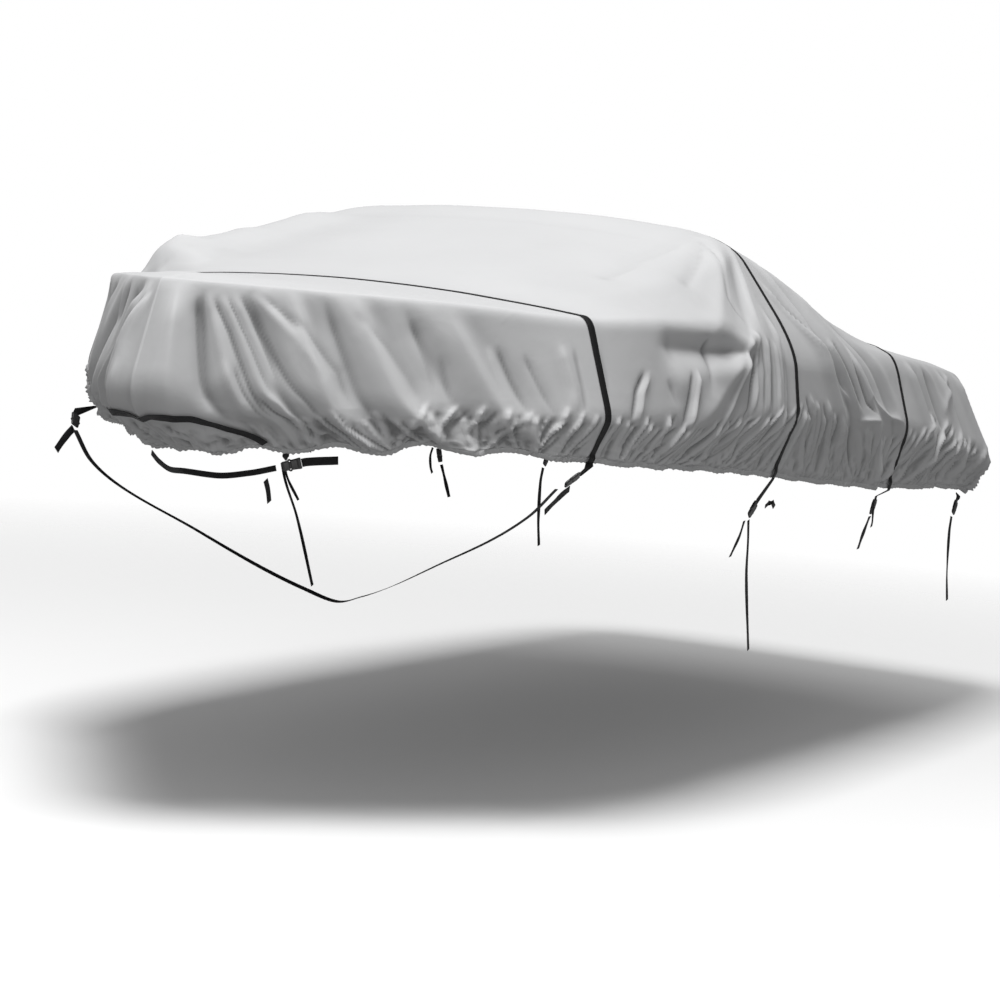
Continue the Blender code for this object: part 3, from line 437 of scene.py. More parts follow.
# Buckles under the hem: middle (x, half, drop) | towards (x, half, drop)
BUCKLES = {
    "fore": ((-1.545, 1.024, 0.905), (-1.590, 0.993, 0.945)),
    "mid": ((-0.050, 1.050, 1.062), (-0.085, 1.042, 1.105)),
    "aft": ((1.245, 1.050, 1.104), (1.247, 1.040, 1.150)),
    "stern": ((2.305, 1.046, 1.150), (2.272, 1.046, 1.205)),
    "bow": ((-2.128, 0.290, 0.916), (-2.160, 0.242, 0.932)),
}
# The buckles that are on both sides; the bow has one, on the port side
STRAPPED_BUCKLES = ("fore", "mid", "aft", "stern")
# Where the stern buckle's webbing is sewn to the hem
STERN_TAB = (2.372, 1.034, 1.094)

# Ties below the buckles, on both sides: width, then route as (x, half, drop)
TIES = {
    "tie_mid_outer": (
        NARROW,
        ((-0.080, 1.050, 1.102), (-0.060, 1.046, 1.160), (0.020, 1.020, 1.330), (0.150, 1.000, 1.625)),
    ),
    "tie_mid_inner": (
        NARROW,
        ((-0.086, 1.036, 1.106), (-0.078, 1.020, 1.160), (-0.050, 0.975, 1.252)),
    ),
    "tie_aft": (
        WEBBING_WIDTH,
        ((1.248, 1.038, 1.146), (1.252, 1.020, 1.200), (1.262, 0.993, 1.290)),
    ),
    "tie_stern": (
        WEBBING_WIDTH,
        ((2.276, 1.045, 1.190), (2.262, 1.046, 1.260), (2.276, 1.048, 1.440), (2.308, 1.050, 1.574)),
    ),
    "tail_fore": (
        WEBBING_WIDTH,
        ((-1.556, 1.022, 0.934), (-1.592, 1.016, 0.952), (-1.640, 1.008, 0.982), (-1.680, 1.000, 1.010)),
    ),
    "tail_mid": (
        NARROW,
        ((0.004, 1.078, 1.050), (0.036, 1.082, 1.036), (0.090, 1.066, 1.034), (0.150, 1.055, 1.060)),
    ),
    "tail_aft": (
        NARROW,
        ((1.206, 1.066, 1.070), (1.196, 1.070, 1.110), (1.204, 1.068, 1.160), (1.212, 1.062, 1.186)),
    ),
}
# Belts that pass under the middle, from one side's buckle to the other's: width, then route out from
# the middle
BELTS = {
    "belt_fore": (
        WEBBING_WIDTH,
        (
            *((-1.300, 0.000, 1.462), (-1.335, 0.120, 1.428), (-1.470, 0.500, 1.258)),
            *((-1.600, 0.900, 1.040), (-1.588, 0.990, 0.938)),
        ),
    ),
    "belt_bow": (
        NARROW,
        ((-2.312, 0.000, 0.962), (-2.262, 0.090, 0.968), (-2.205, 0.180, 0.952), (-2.155, 0.248, 0.930)),
    ),
}
# Where the bow buckle's webbing is sewn to the hem, and the route of its tie
BOW_TAB = (-2.020, 0.400, 0.893)
TIE_BOW = ((-2.172, 0.222, 0.972), (-2.128, 0.205, 1.006), (-2.078, 0.182, 1.052))
# The width of a piece of webbing lies along one of these
ALONG = (1.0, 0.0, 0.0)
UPRIGHT = (0.0, 0.0, 1.0)
SIDE_NAMES = {"P": "port", "S": "starboard"}
# Distance between neighbouring points in station and level where the normal is taken, and how far it is
# kept from the two ends, in station, and from the ridge, in levels
STEP = 1e-4
OFF_ENDS = 0.02
OFF_RIDGE = 0.05
# The two sides' folds are joined over this length at the bow end and the stern end
JOINED = 0.14
# A narrow fold is this much of a pinched crest, and a soft swell for the rest
PINCH = 0.6

# Webbing: points round its profile | powers that flatten its faces and round its edges
BAND_AROUND = 14
BAND_POWERS = (0.42, 0.8)
# Rows of a sewn strap and columns of the bow arch, and the spacing of points on loose webbing
STRAP_ROWS = 150
ARCH_COLUMNS = 70
LOOSE_SPACING = 0.012
LOOSE_POINTS = 6
# A strap is lifted over the gathered hem by this much, from and to these levels above it
OVER_HEM = 0.009
OVER_HEM_LEVELS = (0.16, 0.06)
# The arch lies this far above the crushed cloth, and a level counts this many metres along it
OVER_CRUMPLE = 0.004
ARCH_LEVEL_SHARE = 0.25
# Straight webbing before a buckle
STRAIGHT_END = 0.014
# Greatest turn of loose webbing in radians, and how many turns its wave makes
TWISTS = {"tie": 0.15, "tail": 0.10, "belt": 0.20}
TWIST_TURNS = 2.2

# A buckle from its top to its lower end: share of the length | half width | half depth, as shares
# of its own
BUCKLE_OUTLINE = (
    (0.00, 0.90, 0.50),
    (0.03, 0.98, 0.72),
    (0.12, 1.00, 0.78),
    (0.17, 0.97, 0.84),
    (0.20, 0.95, 1.00),
    (0.46, 0.90, 1.00),
    (0.52, 0.86, 0.96),
    (0.54, 0.60, 0.66),
    (0.60, 0.58, 0.66),
    (0.62, 0.84, 0.84),
    (0.74, 0.86, 0.88),
    (0.90, 0.84, 0.80),
    (0.97, 0.80, 0.62),
    (1.00, 0.74, 0.44),
)
BUCKLE_RINGS = 44
BUCKLE_AROUND = 28
# The power that squares its rings
BUCKLE_POWER = 2 / 5
# Release arms at the waist of a buckle: share of the length | distance from the middle, as a share
# of the half width; then their points along, points round, width and share of the buckle's depth
BUCKLE_ARMS = ((0.50, 0.62), (0.54, 0.86), (0.58, 0.95), (0.64, 0.86), (0.68, 0.66))
ARM_POINTS = 12
ARM_AROUND = 10
ARM_WIDTH = 0.006
ARM_DEPTH = 0.62

# Cloth colour: share of the colour at the darkest and the lightest, the darkest reached only through the
# painted shade of the valleys; then the tone between them of plain cloth, what a patch of mottle adds to
# it, the painted shade that the bottom of a valley adds, and the painted light that a fold adds on its way
# from crest to valley: a painted highlight on crests and more painted shade in valleys
CLOTH_MOTTLE_AND_PAINTED_SHADE_RANGE = (0.45, 1.06)
PLAIN_TONE = 0.81
PATCH_TONE = 0.18
VALLEY_PAINTED_SHADE = -0.70
FOLD_PAINTED_LIGHT_AND_SHADE = -0.10
# Thread of the webbing's stitching: thickness, share of a stitch that shows, and its share of the colour
THREAD = 0.0018
STITCH_SHARE = 0.62
THREAD_SHADE = 3.0
# Share of the colour that a worn patch of plastic has
WORN_SHADE = 1.6
# Mottle: what it gives | the scale it takes | detail | distortion
MOTTLES = (("Patches", "Patch", 3, 0.0), ("Creasing", "Crease", 5, 0.6))
# Mottle of each finish: scale of its patches | of its creasing
CLOTH_MOTTLE = (1.7, 9.0)
WEBBING_MOTTLE = (18.0, 160.0)
PLASTIC_MOTTLE = (60.0, 900.0)
# Least and greatest roughness
CLOTH_ROUGHNESS = (0.68, 0.84)
WEBBING_ROUGHNESS = (0.55, 0.72)
PLASTIC_ROUGHNESS = (0.34, 0.50)
# Strength of the cloth's relief; then depth and strength of the webbing's nap and ribs, and of the
# plastic's grain
CREASING_STRENGTH = 0.55
WEAVE_STRENGTH = 0.35
NAP = (0.0004, 0.4)
RIBS = (0.0006, 0.7)
GRAIN = (0.0002, 0.35)
CLOTH_SHINE = {"Specular IOR Level": 0.35, "Sheen Weight": 0.08, "Sheen Roughness": 0.4}
WEBBING_SHINE = {"Specular IOR Level": 0.22}
# Points of the cloth nearer than this are one
SAME_POINT = 1e-5

# Height of the ground under the cover, and half the width of the floor
GROUND = -2.089
FLOOR_REACH = 60.0
# Its mottle: scale | share of the colour at the darkest; and its roughness
FLOOR_SCALE = 0.6
FLOOR_SHADE = 0.99
FLOOR_ROUGHNESS = 0.9

# Camera: place, heading from +X towards +Y, pitch down and roll in degrees, and lens in millimetres
CAMERA_PLACE = (-9.90, -5.19, -0.189)
CAMERA_TURN = (27.94, 4.91, -4.59)
CAMERA_LENS = 101.3
SENSOR = 36.0
FARTHEST = 300.0

# Lamps: name | place | aimed at | size across, up | watts
LIGHTS = (
    ("overhead_light", (-3.7, -0.7, 10.3), (0.0, 0.0, -0.5), (4.5, 4.5), 1540.0),
    ("side_light", (-6.0, -11.0, 3.0), (0.0, 0.0, -0.5), (5.0, 3.0), 35.0),
    ("low_light", (-9.5, -4.6, -0.7), (-0.8, -0.9, -0.7), (1.2, 1.2), 95.0),
)
# Brightness of the sky: straight down, level and straight up
SKY = (0.15, 0.20, 0.40)
# The floor fades into the background between these distances from the middle
FLOOR_FADE = (3.0, 9.0)


def slopes(knots, values):
    """Tangents at the knots that keep the curve between them from overshooting."""
    steps = np.diff(knots)
    rates = np.diff(values) / steps
    left = 2 * steps[1:] + steps[:-1]
    right = steps[1:] + 2 * steps[:-1]
    same_way = rates[:-1] * rates[1:] > 0
    before = np.where(same_way, rates[:-1], 1)
    after = np.where(same_way, rates[1:], 1)
    inner = np.where(same_way, (left + right) / (left / before + right / after), 0)
    return np.concatenate([rates[:1], inner, rates[-1:]])


def curve(at, knots, values):
    """A smooth curve through (knots, values), read at the given places."""
    knots = np.asarray(knots, float)
    values = np.asarray(values, float)
    tangents = slopes(knots, values)
    cell = np.clip(np.searchsorted(knots, at) - 1, 0, len(knots) - 2)
    step = knots[cell + 1] - knots[cell]
    t = (at - knots[cell]) / step
    rise = t * t * (3 - 2 * t)
    return (
        (1 - rise) * values[cell]
        + rise * values[cell + 1]
        + t * (1 - t) ** 2 * step * tangents[cell]
        - t * t * (1 - t) * step * tangents[cell + 1]
    )


def level_knots():
    """Stations, and for each level its (x, half width, z) at every station."""
    rows = []
    for station, top_x, ridge, *rest in BOW_SECTIONS + STERN_SECTIONS:
        shoulder = (top_x + SHOULDER_REACH * (rest[2] - top_x), rest[0], -rest[1])
        others = [(rest[k], rest[k + 1], -rest[k + 2]) for k in (2, 5, 8)]
        rows.append((station, [(top_x, 0.0, -ridge), shoulder, *others]))
    for x, ridge, *rest in SIDE_SECTIONS:
        rows.append((x, [(x, 0.0, -ridge)] + [(x, rest[k], -rest[k + 1]) for k in (0, 2, 4, 6)]))
    rows.sort(key=lambda row: row[0])
    return np.array([row[0] for row in rows]), np.array([row[1] for row in rows])


STATIONS, KNOTS = level_knots()


def on_levels(station):
    """Points of the five levels at each station, in an array of (5, ..., 3)."""
    return np.stack(
        [np.stack([curve(station, STATIONS, KNOTS[:, k, axis]) for axis in range(3)], -1) for k in LEVELS]
    )


def plain_cloth(station, level):
    """The cloth with no folds: straight bands between the levels, a crowned top and rounded bends."""
    lines = on_levels(station)

    def straight(where):
        band = np.clip(np.floor(where).astype(int), RIDGE, WIDEST)
        share = (where - band)[..., None]
        pick = np.broadcast_to(band[None, ..., None], (1, *band.shape, 3))
        upper = np.take_along_axis(lines, pick, 0)[0]
        lower = np.take_along_axis(lines, pick + 1, 0)[0]
        points = upper * (1 - share) + lower * share
        crown = np.where(band == 0, where * (1 - where) * CROWN, 0)
        points[..., 2] += crown * (lines[RIDGE][..., 2] - lines[SHOULDER][..., 2])
        return points

    cloth = straight(level)
    bends = np.array(BENDS)
    for k in (SHOULDER, CREASE, WIDEST):
        reach = curve(station, bends[:, 0], bends[:, k])
        share = (level - (k - reach)) / (2 * reach)
        inside = ((share > 0) & (share < 1))[..., None]
        share = share[..., None]
        before = straight(np.broadcast_to(k - reach, level.shape))
        after = straight(np.broadcast_to(k + reach, level.shape))
        rounded = (1 - share) ** 2 * before + 2 * share * (1 - share) * lines[k] + share**2 * after
        cloth = np.where(inside, rounded, cloth)
    return cloth


def smooth(value, low, high):
    """Rises from 0 at low to 1 at high as 3t^2 - 2t^3."""
    t = np.clip((value - low) / (high - low), 0, 1)
    return t * t * (3 - 2 * t)


def down_cloth(level):
    """Metres of cloth from the ridge down to a level."""
    return np.interp(level, LEVELS, LEVEL_GIRTH)


def pressed(height, station, share, reach):
    """Heights lowered by a share under each strap: 1 - share exp(-t^2), t in strap widths times reach."""
    for name, at in STRAP_STATIONS.items():
        near = (station - at) / (reach * STRAP_WIDTHS[name])
        height = height * (1 - share * np.exp(-(near**2)))
    return height


def centred(port, star):
    """The middle of a port point and its starboard one, put on the centreline."""
    return (port + star) / 2 * (1, 0, 1)


def fold_heights(station, level, side):
    """How far the folds of one side lift the cloth off its plain surface."""
    girth = down_cloth(level)
    height = np.zeros_like(girth)
    for sides, s0, l0, s1, l1, half_width, rise, runs_out in FOLDS:
        if side not in sides:
            continue
        g0, g1 = down_cloth((l0, l1))
        length = np.hypot(s1 - s0, g1 - g0)
        along_s, along_g = (s1 - s0) / length, (g1 - g0) / length
        along = (station - s0) * along_s + (girth - g0) * along_g
        across = (station - s0) * along_g - (girth - g0) * along_s
        past = np.where(along < 0, -along, 0)
        if not runs_out:
            past = past + np.where(along > length, along - length, 0)
        spread = half_width * (FOLD_NARROW + FOLD_WIDEN * np.clip(along / length, 0, 1))
        share = across / spread
        side_on = np.exp(-(share**2))
        if half_width < FOLD_BROAD:
            side_on = side_on * (1 - PINCH) + PINCH * crest(share)
            side_on = side_on - FOLD_LEE * np.exp(-((share - FOLD_LEE_AT) ** 2))
        starts = smooth(along, FOLD_LEAD, FOLD_START)
        height += rise * side_on * starts * np.exp(-((past / (FOLD_RUN_OUT * half_width)) ** 2))
    slanted = station + PLEAT_SLANT * (girth - LEVEL_GIRTH[WIDEST])
    wander = sum(amount * np.sin(turns * slanted + start) for amount, turns, start in PLEAT_WANDER)
    pleats = np.sin(2 * np.pi * slanted / PLEAT_PITCH + wander + PLEAT_SHIFT[side])
    height += PLEAT_HEIGHT * smooth(level, PLEAT_TOP, PLEAT_FULL) * pleats
    height = pressed(height, station, STRAP_HOLD, STRAP_REACH)
    height *= smooth(level, *FOLDS_FROM) * smooth(STATIONS[-1] - station, 0, END_REACH)
    return height * (STEM_SHARE + (1 - STEM_SHARE) * smooth(station - STATIONS[0], 0, STEM_REACH))


def cloth_and_normal(station, level, side):
    """The folded cloth and its outward unit normal; side is P (negative Y) or S."""
    station, level = np.broadcast_arrays(np.asarray(station, float), np.asarray(level, float))
    turn = np.array([1.0, -1.0 if side == "P" else 1.0, 1.0])
    first, last = STATIONS[0], STATIONS[-1]
    beside = np.clip(station, first + OFF_ENDS, last - OFF_ENDS)
    below = np.clip(level, OFF_RIDGE, HEM - STEP)
    along = plain_cloth(beside + STEP, below) - plain_cloth(beside - STEP, below)
    fall = plain_cloth(beside, below + STEP) - plain_cloth(beside, below - STEP)
    normal = np.cross(along, fall)
    normal[(station == first) | (station == last) | (level == 0)] *= (1, 0, 1)
    normal /= np.linalg.norm(normal, axis=-1, keepdims=True)
    height = fold_heights(station, level, side)
    other = fold_heights(station, level, "S" if side == "P" else "P")
    shared = 1 - 0.5 * smooth(station - first, 0, JOINED) - 0.5 * smooth(last - station, 0, JOINED)
    points = plain_cloth(station, level) + normal * (height + (other - height) * shared)[..., None]
    return points * turn, normal * turn


def lattice(u, v, cell, seed):
    """Soft noise from -1 to 1: random numbers on a square lattice of this cell, blended by 3t^2 - 2t^3."""
    corners = np.random.default_rng(seed).uniform(-1, 1, (LATTICE_SIZE, LATTICE_SIZE))
    i, j = np.floor(u / cell).astype(int), np.floor(v / cell).astype(int)
    s, t = u / cell - i, v / cell - j
    s, t = s * s * (3 - 2 * s), t * t * (3 - 2 * t)

    def corner(over, down):
        return corners[(i + over) % LATTICE_SIZE, (j + down) % LATTICE_SIZE]

    near = corner(0, 0) * (1 - s) + corner(1, 0) * s
    far = corner(0, 1) * (1 - s) + corner(1, 1) * s
    return near * (1 - t) + far * t


def ridges(u, v, cell, seed):
    """Ridged noise: a sharp crest wherever the soft noise crosses nought, 1 - 2|n|."""
    return 1 - 2 * np.abs(lattice(u, v, cell, seed))


def crest(u):
    """A pinched crest with long flanks: exp(-fall * (sqrt(u^2 + top^2) - top))."""
    return np.exp(-CREST_FALL * (np.sqrt(u * u + CREST_TOP**2) - CREST_TOP))


def crease_heights(station, girth, side):
    """Creases placed one by one: a crest across each leg of the route, fading in at its start and end."""
    height = np.zeros_like(girth)
    for sides, half_width, rise, route in CREASES:
        if side not in sides:
            continue
        knots = np.array([(s, down_cloth(level)) for s, level in route])
        reach = half_width * CREASE_REACH
        low, high = knots.min(0) - reach, knots.max(0) + reach
        near = (station > low[0]) & (station < high[0]) & (girth > low[1]) & (girth < high[1])
        if not near.any():
            continue
        s, g = station[near], girth[near]
        legs = np.diff(knots, axis=0)
        lengths = np.hypot(legs[:, 0], legs[:, 1])
        across = np.full(s.shape, np.inf)
        along = np.zeros_like(s)
        for k, (start, leg, length) in enumerate(zip(knots, legs, lengths)):
            to = np.clip(((s - start[0]) * leg[0] + (g - start[1]) * leg[1]) / length**2, 0, 1)
            away = np.hypot(s - start[0] - to * leg[0], g - start[1] - to * leg[1])
            along = np.where(away < across, lengths[:k].sum() + to * length, along)
            across = np.minimum(away, across)
        whole = lengths.sum()
        fade = smooth(along, CREASE_LEAD, CREASE_START) * smooth(whole - along, CREASE_LEAD, CREASE_END)
        spread = half_width * (CREASE_NARROW + CREASE_WIDEN * along / whole)
        height[near] += rise * crest(across / spread) * fade
    return height


def gather_heights(station, level, side):
    """Slanting crests at uneven spacings, each with a trough beside it, from a tip down to the hem."""
    table = np.array(GATHERS)
    chance = np.random.default_rng(GATHER_SEEDS[side])
    height = np.zeros_like(level)
    drop = level - WIDEST
    at = STATIONS[0]
    while at < STATIONS[-1]:
        spacing, slant, rise, tip = (np.interp(at, table[:, 0], table[:, k]) for k in (1, 2, 3, 4))
        wide, tall, lean, start, bend = chance.uniform(-1, 1, 5)
        tips = (tip + UNEVEN_TIP * start, tip + SMALLER_LOWER + SMALLER_UNEVEN * lean)
        for (place, share, width), first in zip(GATHER_RANKS, tips):
            across = station - (at + place * spacing) - (slant + UNEVEN_SLANT * lean) * drop
            across = across - UNEVEN_BEND * bend * drop * drop
            half_width = GATHER_WIDTH * spacing * (1 + UNEVEN_WIDTH * wide) * width
            near = np.abs(across) < GATHER_REACH * half_width
            off = across[near] / half_width
            fin = crest(off) - GATHER_LEE * crest(off - GATHER_LEE_AT)
            starts = smooth(level[near], first, first + GATHER_FADE)
            height[near] += share * rise * (1 + UNEVEN * tall) * fin * starts
        at += spacing * (1 + UNEVEN * UNEVEN_SPACING * chance.uniform(-1, 1))
    return height


def arch_level(station):
    """The level of the bow arch at a station."""
    return np.interp(station, *np.array(ARCH).T)


def crumple_heights(station, girth, level, side):
    """Soft unevenness on three scales, with ridges below the bow arch and ridged loops above the hem."""
    seed = GATHER_SEEDS[side]
    height = np.zeros_like(girth)
    for k, (cell, top, sides, hem) in enumerate(CRUMPLES):
        amount = np.interp(level, CRUMPLE_LEVELS, (top, top, sides, sides, hem))
        height += amount * lattice(station + CRUMPLE_START, girth + CRUMPLE_STEP * k, cell, seed + k)
    below = smooth(level - arch_level(station), *BELOW_ARCH) * smooth(ARCH_FOOT - station, 0, BOW_FADE)
    broad = ridges(station + BOW_START, girth * RIDGES_ACROSS, BOW_CRUMPLE_CELL, seed + BOW_SEED)
    finer = ridges(station + FINER_START, girth, BOW_CRUMPLE_CELL * BOW_FINER_CELL, seed + FINER_SEED)
    height += below * BOW_CRUMPLE * (broad + BOW_FINER * finer)
    loops = ridges(station + LOOPS_START, girth * LOOPS_ACROSS, HEM_CRUSH_CELL, seed + LOOPS_SEED)
    return height + smooth(level, HEM_CRUSH_FROM, HEM_LEVEL) * HEM_CRUSH * loops


def fine_cloth(station, level, side):
    """The dressed cloth and its outward normal: the solid's surface with the small folds laid on it."""
    station, level = np.broadcast_arrays(np.asarray(station, float), np.asarray(level, float))
    points, normal = cloth_and_normal(station, level, side)
    girth = down_cloth(level)
    small = crease_heights(station, girth, side) + gather_heights(station, level, side)
    small += crumple_heights(station, girth, level, side)
    small = pressed(small, station, STRAP_PRESS, STRAP_PRESS_REACH)
    near = (level - arch_level(station)) / ARCH_PRESS_LEVELS
    small *= 1 - ARCH_PRESS * np.exp(-(near**2)) * smooth(ARCH_FOOT - station, 0, ARCH_PRESS_FADE)
    above, to = HEM_CALM_LEVELS
    small *= 1 - HEM_CALM * smooth(level, HEM_LEVEL - above, HEM_LEVEL - to)
    from_stern = smooth(STATIONS[-1] - station, 0, SMALL_FROM_STERN)
    from_bow = smooth(station - STATIONS[0], 0, SMALL_FROM_BOW)
    small *= smooth(level, 0, SMALL_FROM_RIDGE) * from_stern * from_bow
    return points + normal * small[..., None], normal


def fold_depths_for_painted_shade(points, normal):
    """How far a point lies below the middle of its neighbours, as a share of their spacing: 1 in a valley.
    The cloth's colour turns it into painted shade in valleys and a painted highlight on crests.
    """
    depth = np.zeros(points.shape[:2])
    for reach, full in PAINTED_FOLD_SHADE_SPANS:
        for axis, share in enumerate(PAINTED_FOLD_SHADE_SHARES):
            last = points.shape[axis] - 1
            at = np.arange(last + 1)
            before = points.take(np.clip(at - reach, 0, last), axis)
            after = points.take(np.clip(at + reach, 0, last), axis)
            half_span = np.linalg.norm(after - before, axis=-1) / 2
            depth += share * (((before + after) / 2 - points) * normal).sum(-1) / (full * half_span)
    return np.clip(depth, -1, 1)


def both_halves(station, level):
    """Dressed points and normals from the port edge over the ridge to the starboard edge; level runs down."""
    port, port_out = fine_cloth(station, level, "P")
    star, star_out = fine_cloth(station, level, "S")
    ridge = centred(port[..., :1, :], star[..., :1, :])
    points = np.concatenate([port[..., :0:-1, :], ridge, star[..., 1:, :]], -2)
    return points, np.concatenate([port_out[..., :0:-1, :], star_out], -2)


def quads(columns, rows, closed_rows=False):
    """Faces of a grid numbered column by column; closed rows join the last row to the first."""
    i, j = np.meshgrid(np.arange(columns - 1), np.arange(rows - (not closed_rows)), indexing="ij")
    i, j = i.ravel(), j.ravel()
    after = (j + 1) % rows
    return np.stack([i * rows + j, (i + 1) * rows + j, (i + 1) * rows + after, i * rows + after], -1)


def in_scene(name, data):
    """An object for this data, put into the scene."""
    obj = bpy.data.objects.new(name, data)
    bpy.context.scene.collection.objects.link(obj)
    return obj


def new_piece(name, points, faces, material, uv=None):
    """A mesh in place, with smooth faces and, where it is given, one UV for each point."""
    mesh = bpy.data.meshes.new(name)
    mesh.from_pydata(points.reshape(-1, 3).tolist(), [], [list(map(int, f)) for f in faces])
    mesh.polygons.foreach_set("use_smooth", np.ones(len(mesh.polygons), bool))
    if uv is not None:
        corners = np.empty(len(mesh.loops), np.int32)
        mesh.loops.foreach_get("vertex_index", corners)
        layer = mesh.uv_layers.new(name="cloth_metres")
        layer.data.foreach_set("uv", uv.reshape(-1, 2)[corners].astype(np.float32).ravel())
    mesh.materials.append(material)
    mesh.update()
    obj = in_scene(name, mesh)
    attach(obj, "root")
    return obj


def lengths_along(points):
    """The distance along a path to each of its points."""
    return np.concatenate([[0], np.cumsum(np.linalg.norm(np.diff(points, axis=0), axis=1))])


def loft_faces(rings, around):
    """Faces of closed rings in a row, with a flat face over each end."""
    faces = quads(rings, around, closed_rows=True).tolist()
    faces.append(list(range(around)))
    faces.append([(rings - 1) * around + k for k in reversed(range(around))])
    return faces


def carried(centre, across, out, profile):
    """A closed profile of (a, b) carried along a path: point + across * a + out * b, with flat ends."""
    a, b = profile.T[:, None, :, None]
    rings = centre[:, None] + across[:, None] * a + out[:, None] * b
    uv = np.stack(np.broadcast_arrays(a[..., 0], lengths_along(centre)[:, None]), -1)
    return rings, loft_faces(*rings.shape[:2]), uv


def squared(turn, powers):
    """Cosine and sine of a turn, each raised to its power with its sign kept: a superellipse."""
    return np.stack([np.sign(f) * np.abs(f) ** p for f, p in zip((np.cos(turn), np.sin(turn)), powers)], -1)


def flat_profile(width, depth, around=BAND_AROUND):
    """A flat band with rounded edges: a superellipse of width by depth."""
    turn = np.linspace(0, 2 * np.pi, around, endpoint=False)
    return squared(turn, BAND_POWERS) * (width, depth) / 2


def unit(vectors):
    """Vectors of the same direction, of length 1."""
    return vectors / np.linalg.norm(vectors, axis=-1, keepdims=True)


def placed(point, side):
    """A point (x, half width, drop) on its side of the cover."""
    x, half, drop = point
    return np.array([x, -half if side == "P" else half, -drop])


def buckle_axes(middle, towards, face):
    """Unit directions down a buckle, across it and out of its face."""
    down = unit(towards - middle)
    across = unit(np.array(face) - down * (down @ np.array(face)))
    return down, across, np.cross(across, down)


def even_path(route, spacing):
    """Points about a spacing apart on a smooth curve through a route."""
    route = np.array(route, float)
    reach = lengths_along(route)
    at = np.linspace(0, reach[-1], max(LOOSE_POINTS, int(round(reach[-1] / spacing)) + 1))
    return np.stack([curve(at, reach, route[:, k]) for k in range(3)], -1)


def webbing_band(name, points, across, width, twist=0.0):
    """Webbing carried along points, square to the run, and turned by twist sin(pi t) sin(2.2 pi t + c)."""
    run = unit(np.gradient(points, axis=0))
    across = unit(across - run * (across * run).sum(-1, keepdims=True))
    out = np.cross(across, run)
    share = np.linspace(0, 1, len(points))
    name_in_scene = "webbing_" + name
    wave = np.sin(np.pi * share) * np.sin(TWIST_TURNS * np.pi * share + len(name_in_scene))
    turn = (twist * wave)[:, None]
    across, out = across * np.cos(turn) + out * np.sin(turn), out * np.cos(turn) - across * np.sin(turn)
    thickness = bpy.context.scene.boat_cover_sizes.webbing_thickness
    rings, faces, uv = carried(points, across, out, flat_profile(width, thickness))
    webbing = finish_named("ribbed_webbing", webbing_material)
    obj = new_piece(name_in_scene, rings, faces, webbing, uv)
    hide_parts(name)


def group_sockets(name, inputs, outputs):
    """An empty shader node group with its sockets, and the links between its own nodes still to make."""
    group = bpy.data.node_groups.new(name, "ShaderNodeTree")
    for label, kind, value in inputs:
        socket = group.interface.new_socket(name=label, in_out="INPUT", socket_type=kind)
        if value is not None:
            socket.default_value = value
    for label in outputs:
        group.interface.new_socket(name=label, in_out="OUTPUT", socket_type="NodeSocketFloat")
    return group, group.nodes.new("NodeGroupInput"), group.nodes.new("NodeGroupOutput")


def sums(tree, operation, *given, clamp=False):
    """One math node fed by sockets or numbers; gives its output."""
    node = tree.nodes.new("ShaderNodeMath")
    node.operation = operation
    node.use_clamp = clamp
    for slot, value in enumerate(given):
        if isinstance(value, (int, float)):
            node.inputs[slot].default_value = value
        else:
            tree.links.new(value, node.inputs[slot])
    return node.outputs[0]


def woven_group():
    """Plain weave: the product of two sines, one across the warp and one across the weft."""
    inputs = (("Metres", "NodeSocketVector", None), ("Yarn", "NodeSocketFloat", 0.002))
    group, given, out = group_sockets("plain_weave", inputs, ("Height",))
    axes = group.nodes.new("ShaderNodeSeparateXYZ")
    group.links.new(given.outputs["Metres"], axes.inputs[0])
    turn = sums(group, "DIVIDE", 2 * np.pi, given.outputs["Yarn"])
    warp = sums(group, "SINE", sums(group, "MULTIPLY", axes.outputs["X"], turn))
    weft = sums(group, "SINE", sums(group, "MULTIPLY", axes.outputs["Y"], turn))
    crossing = sums(group, "MULTIPLY", warp, weft)
    group.links.new(sums(group, "MULTIPLY_ADD", crossing, 0.5, 0.5), out.inputs["Height"])
    return group


def mottle_group():
    """Soft patches and fine creasing from two noises, used for colour, roughness and bump."""
    inputs = (
        ("Position", "NodeSocketVector", None),
        ("Patch", "NodeSocketFloat", 2.0),
        ("Crease", "NodeSocketFloat", 12.0),
    )
    group, given, out = group_sockets("soft_mottle", inputs, ("Patches", "Creasing"))
    for label, socket, detail, twist in MOTTLES:
        noise = group.nodes.new("ShaderNodeTexNoise")
        noise.inputs["Detail"].default_value = detail
        noise.inputs["Distortion"].default_value = twist
        group.links.new(given.outputs["Position"], noise.inputs["Vector"])
        group.links.new(given.outputs[socket], noise.inputs["Scale"])
        group.links.new(noise.outputs[0], out.inputs[label])
    return group


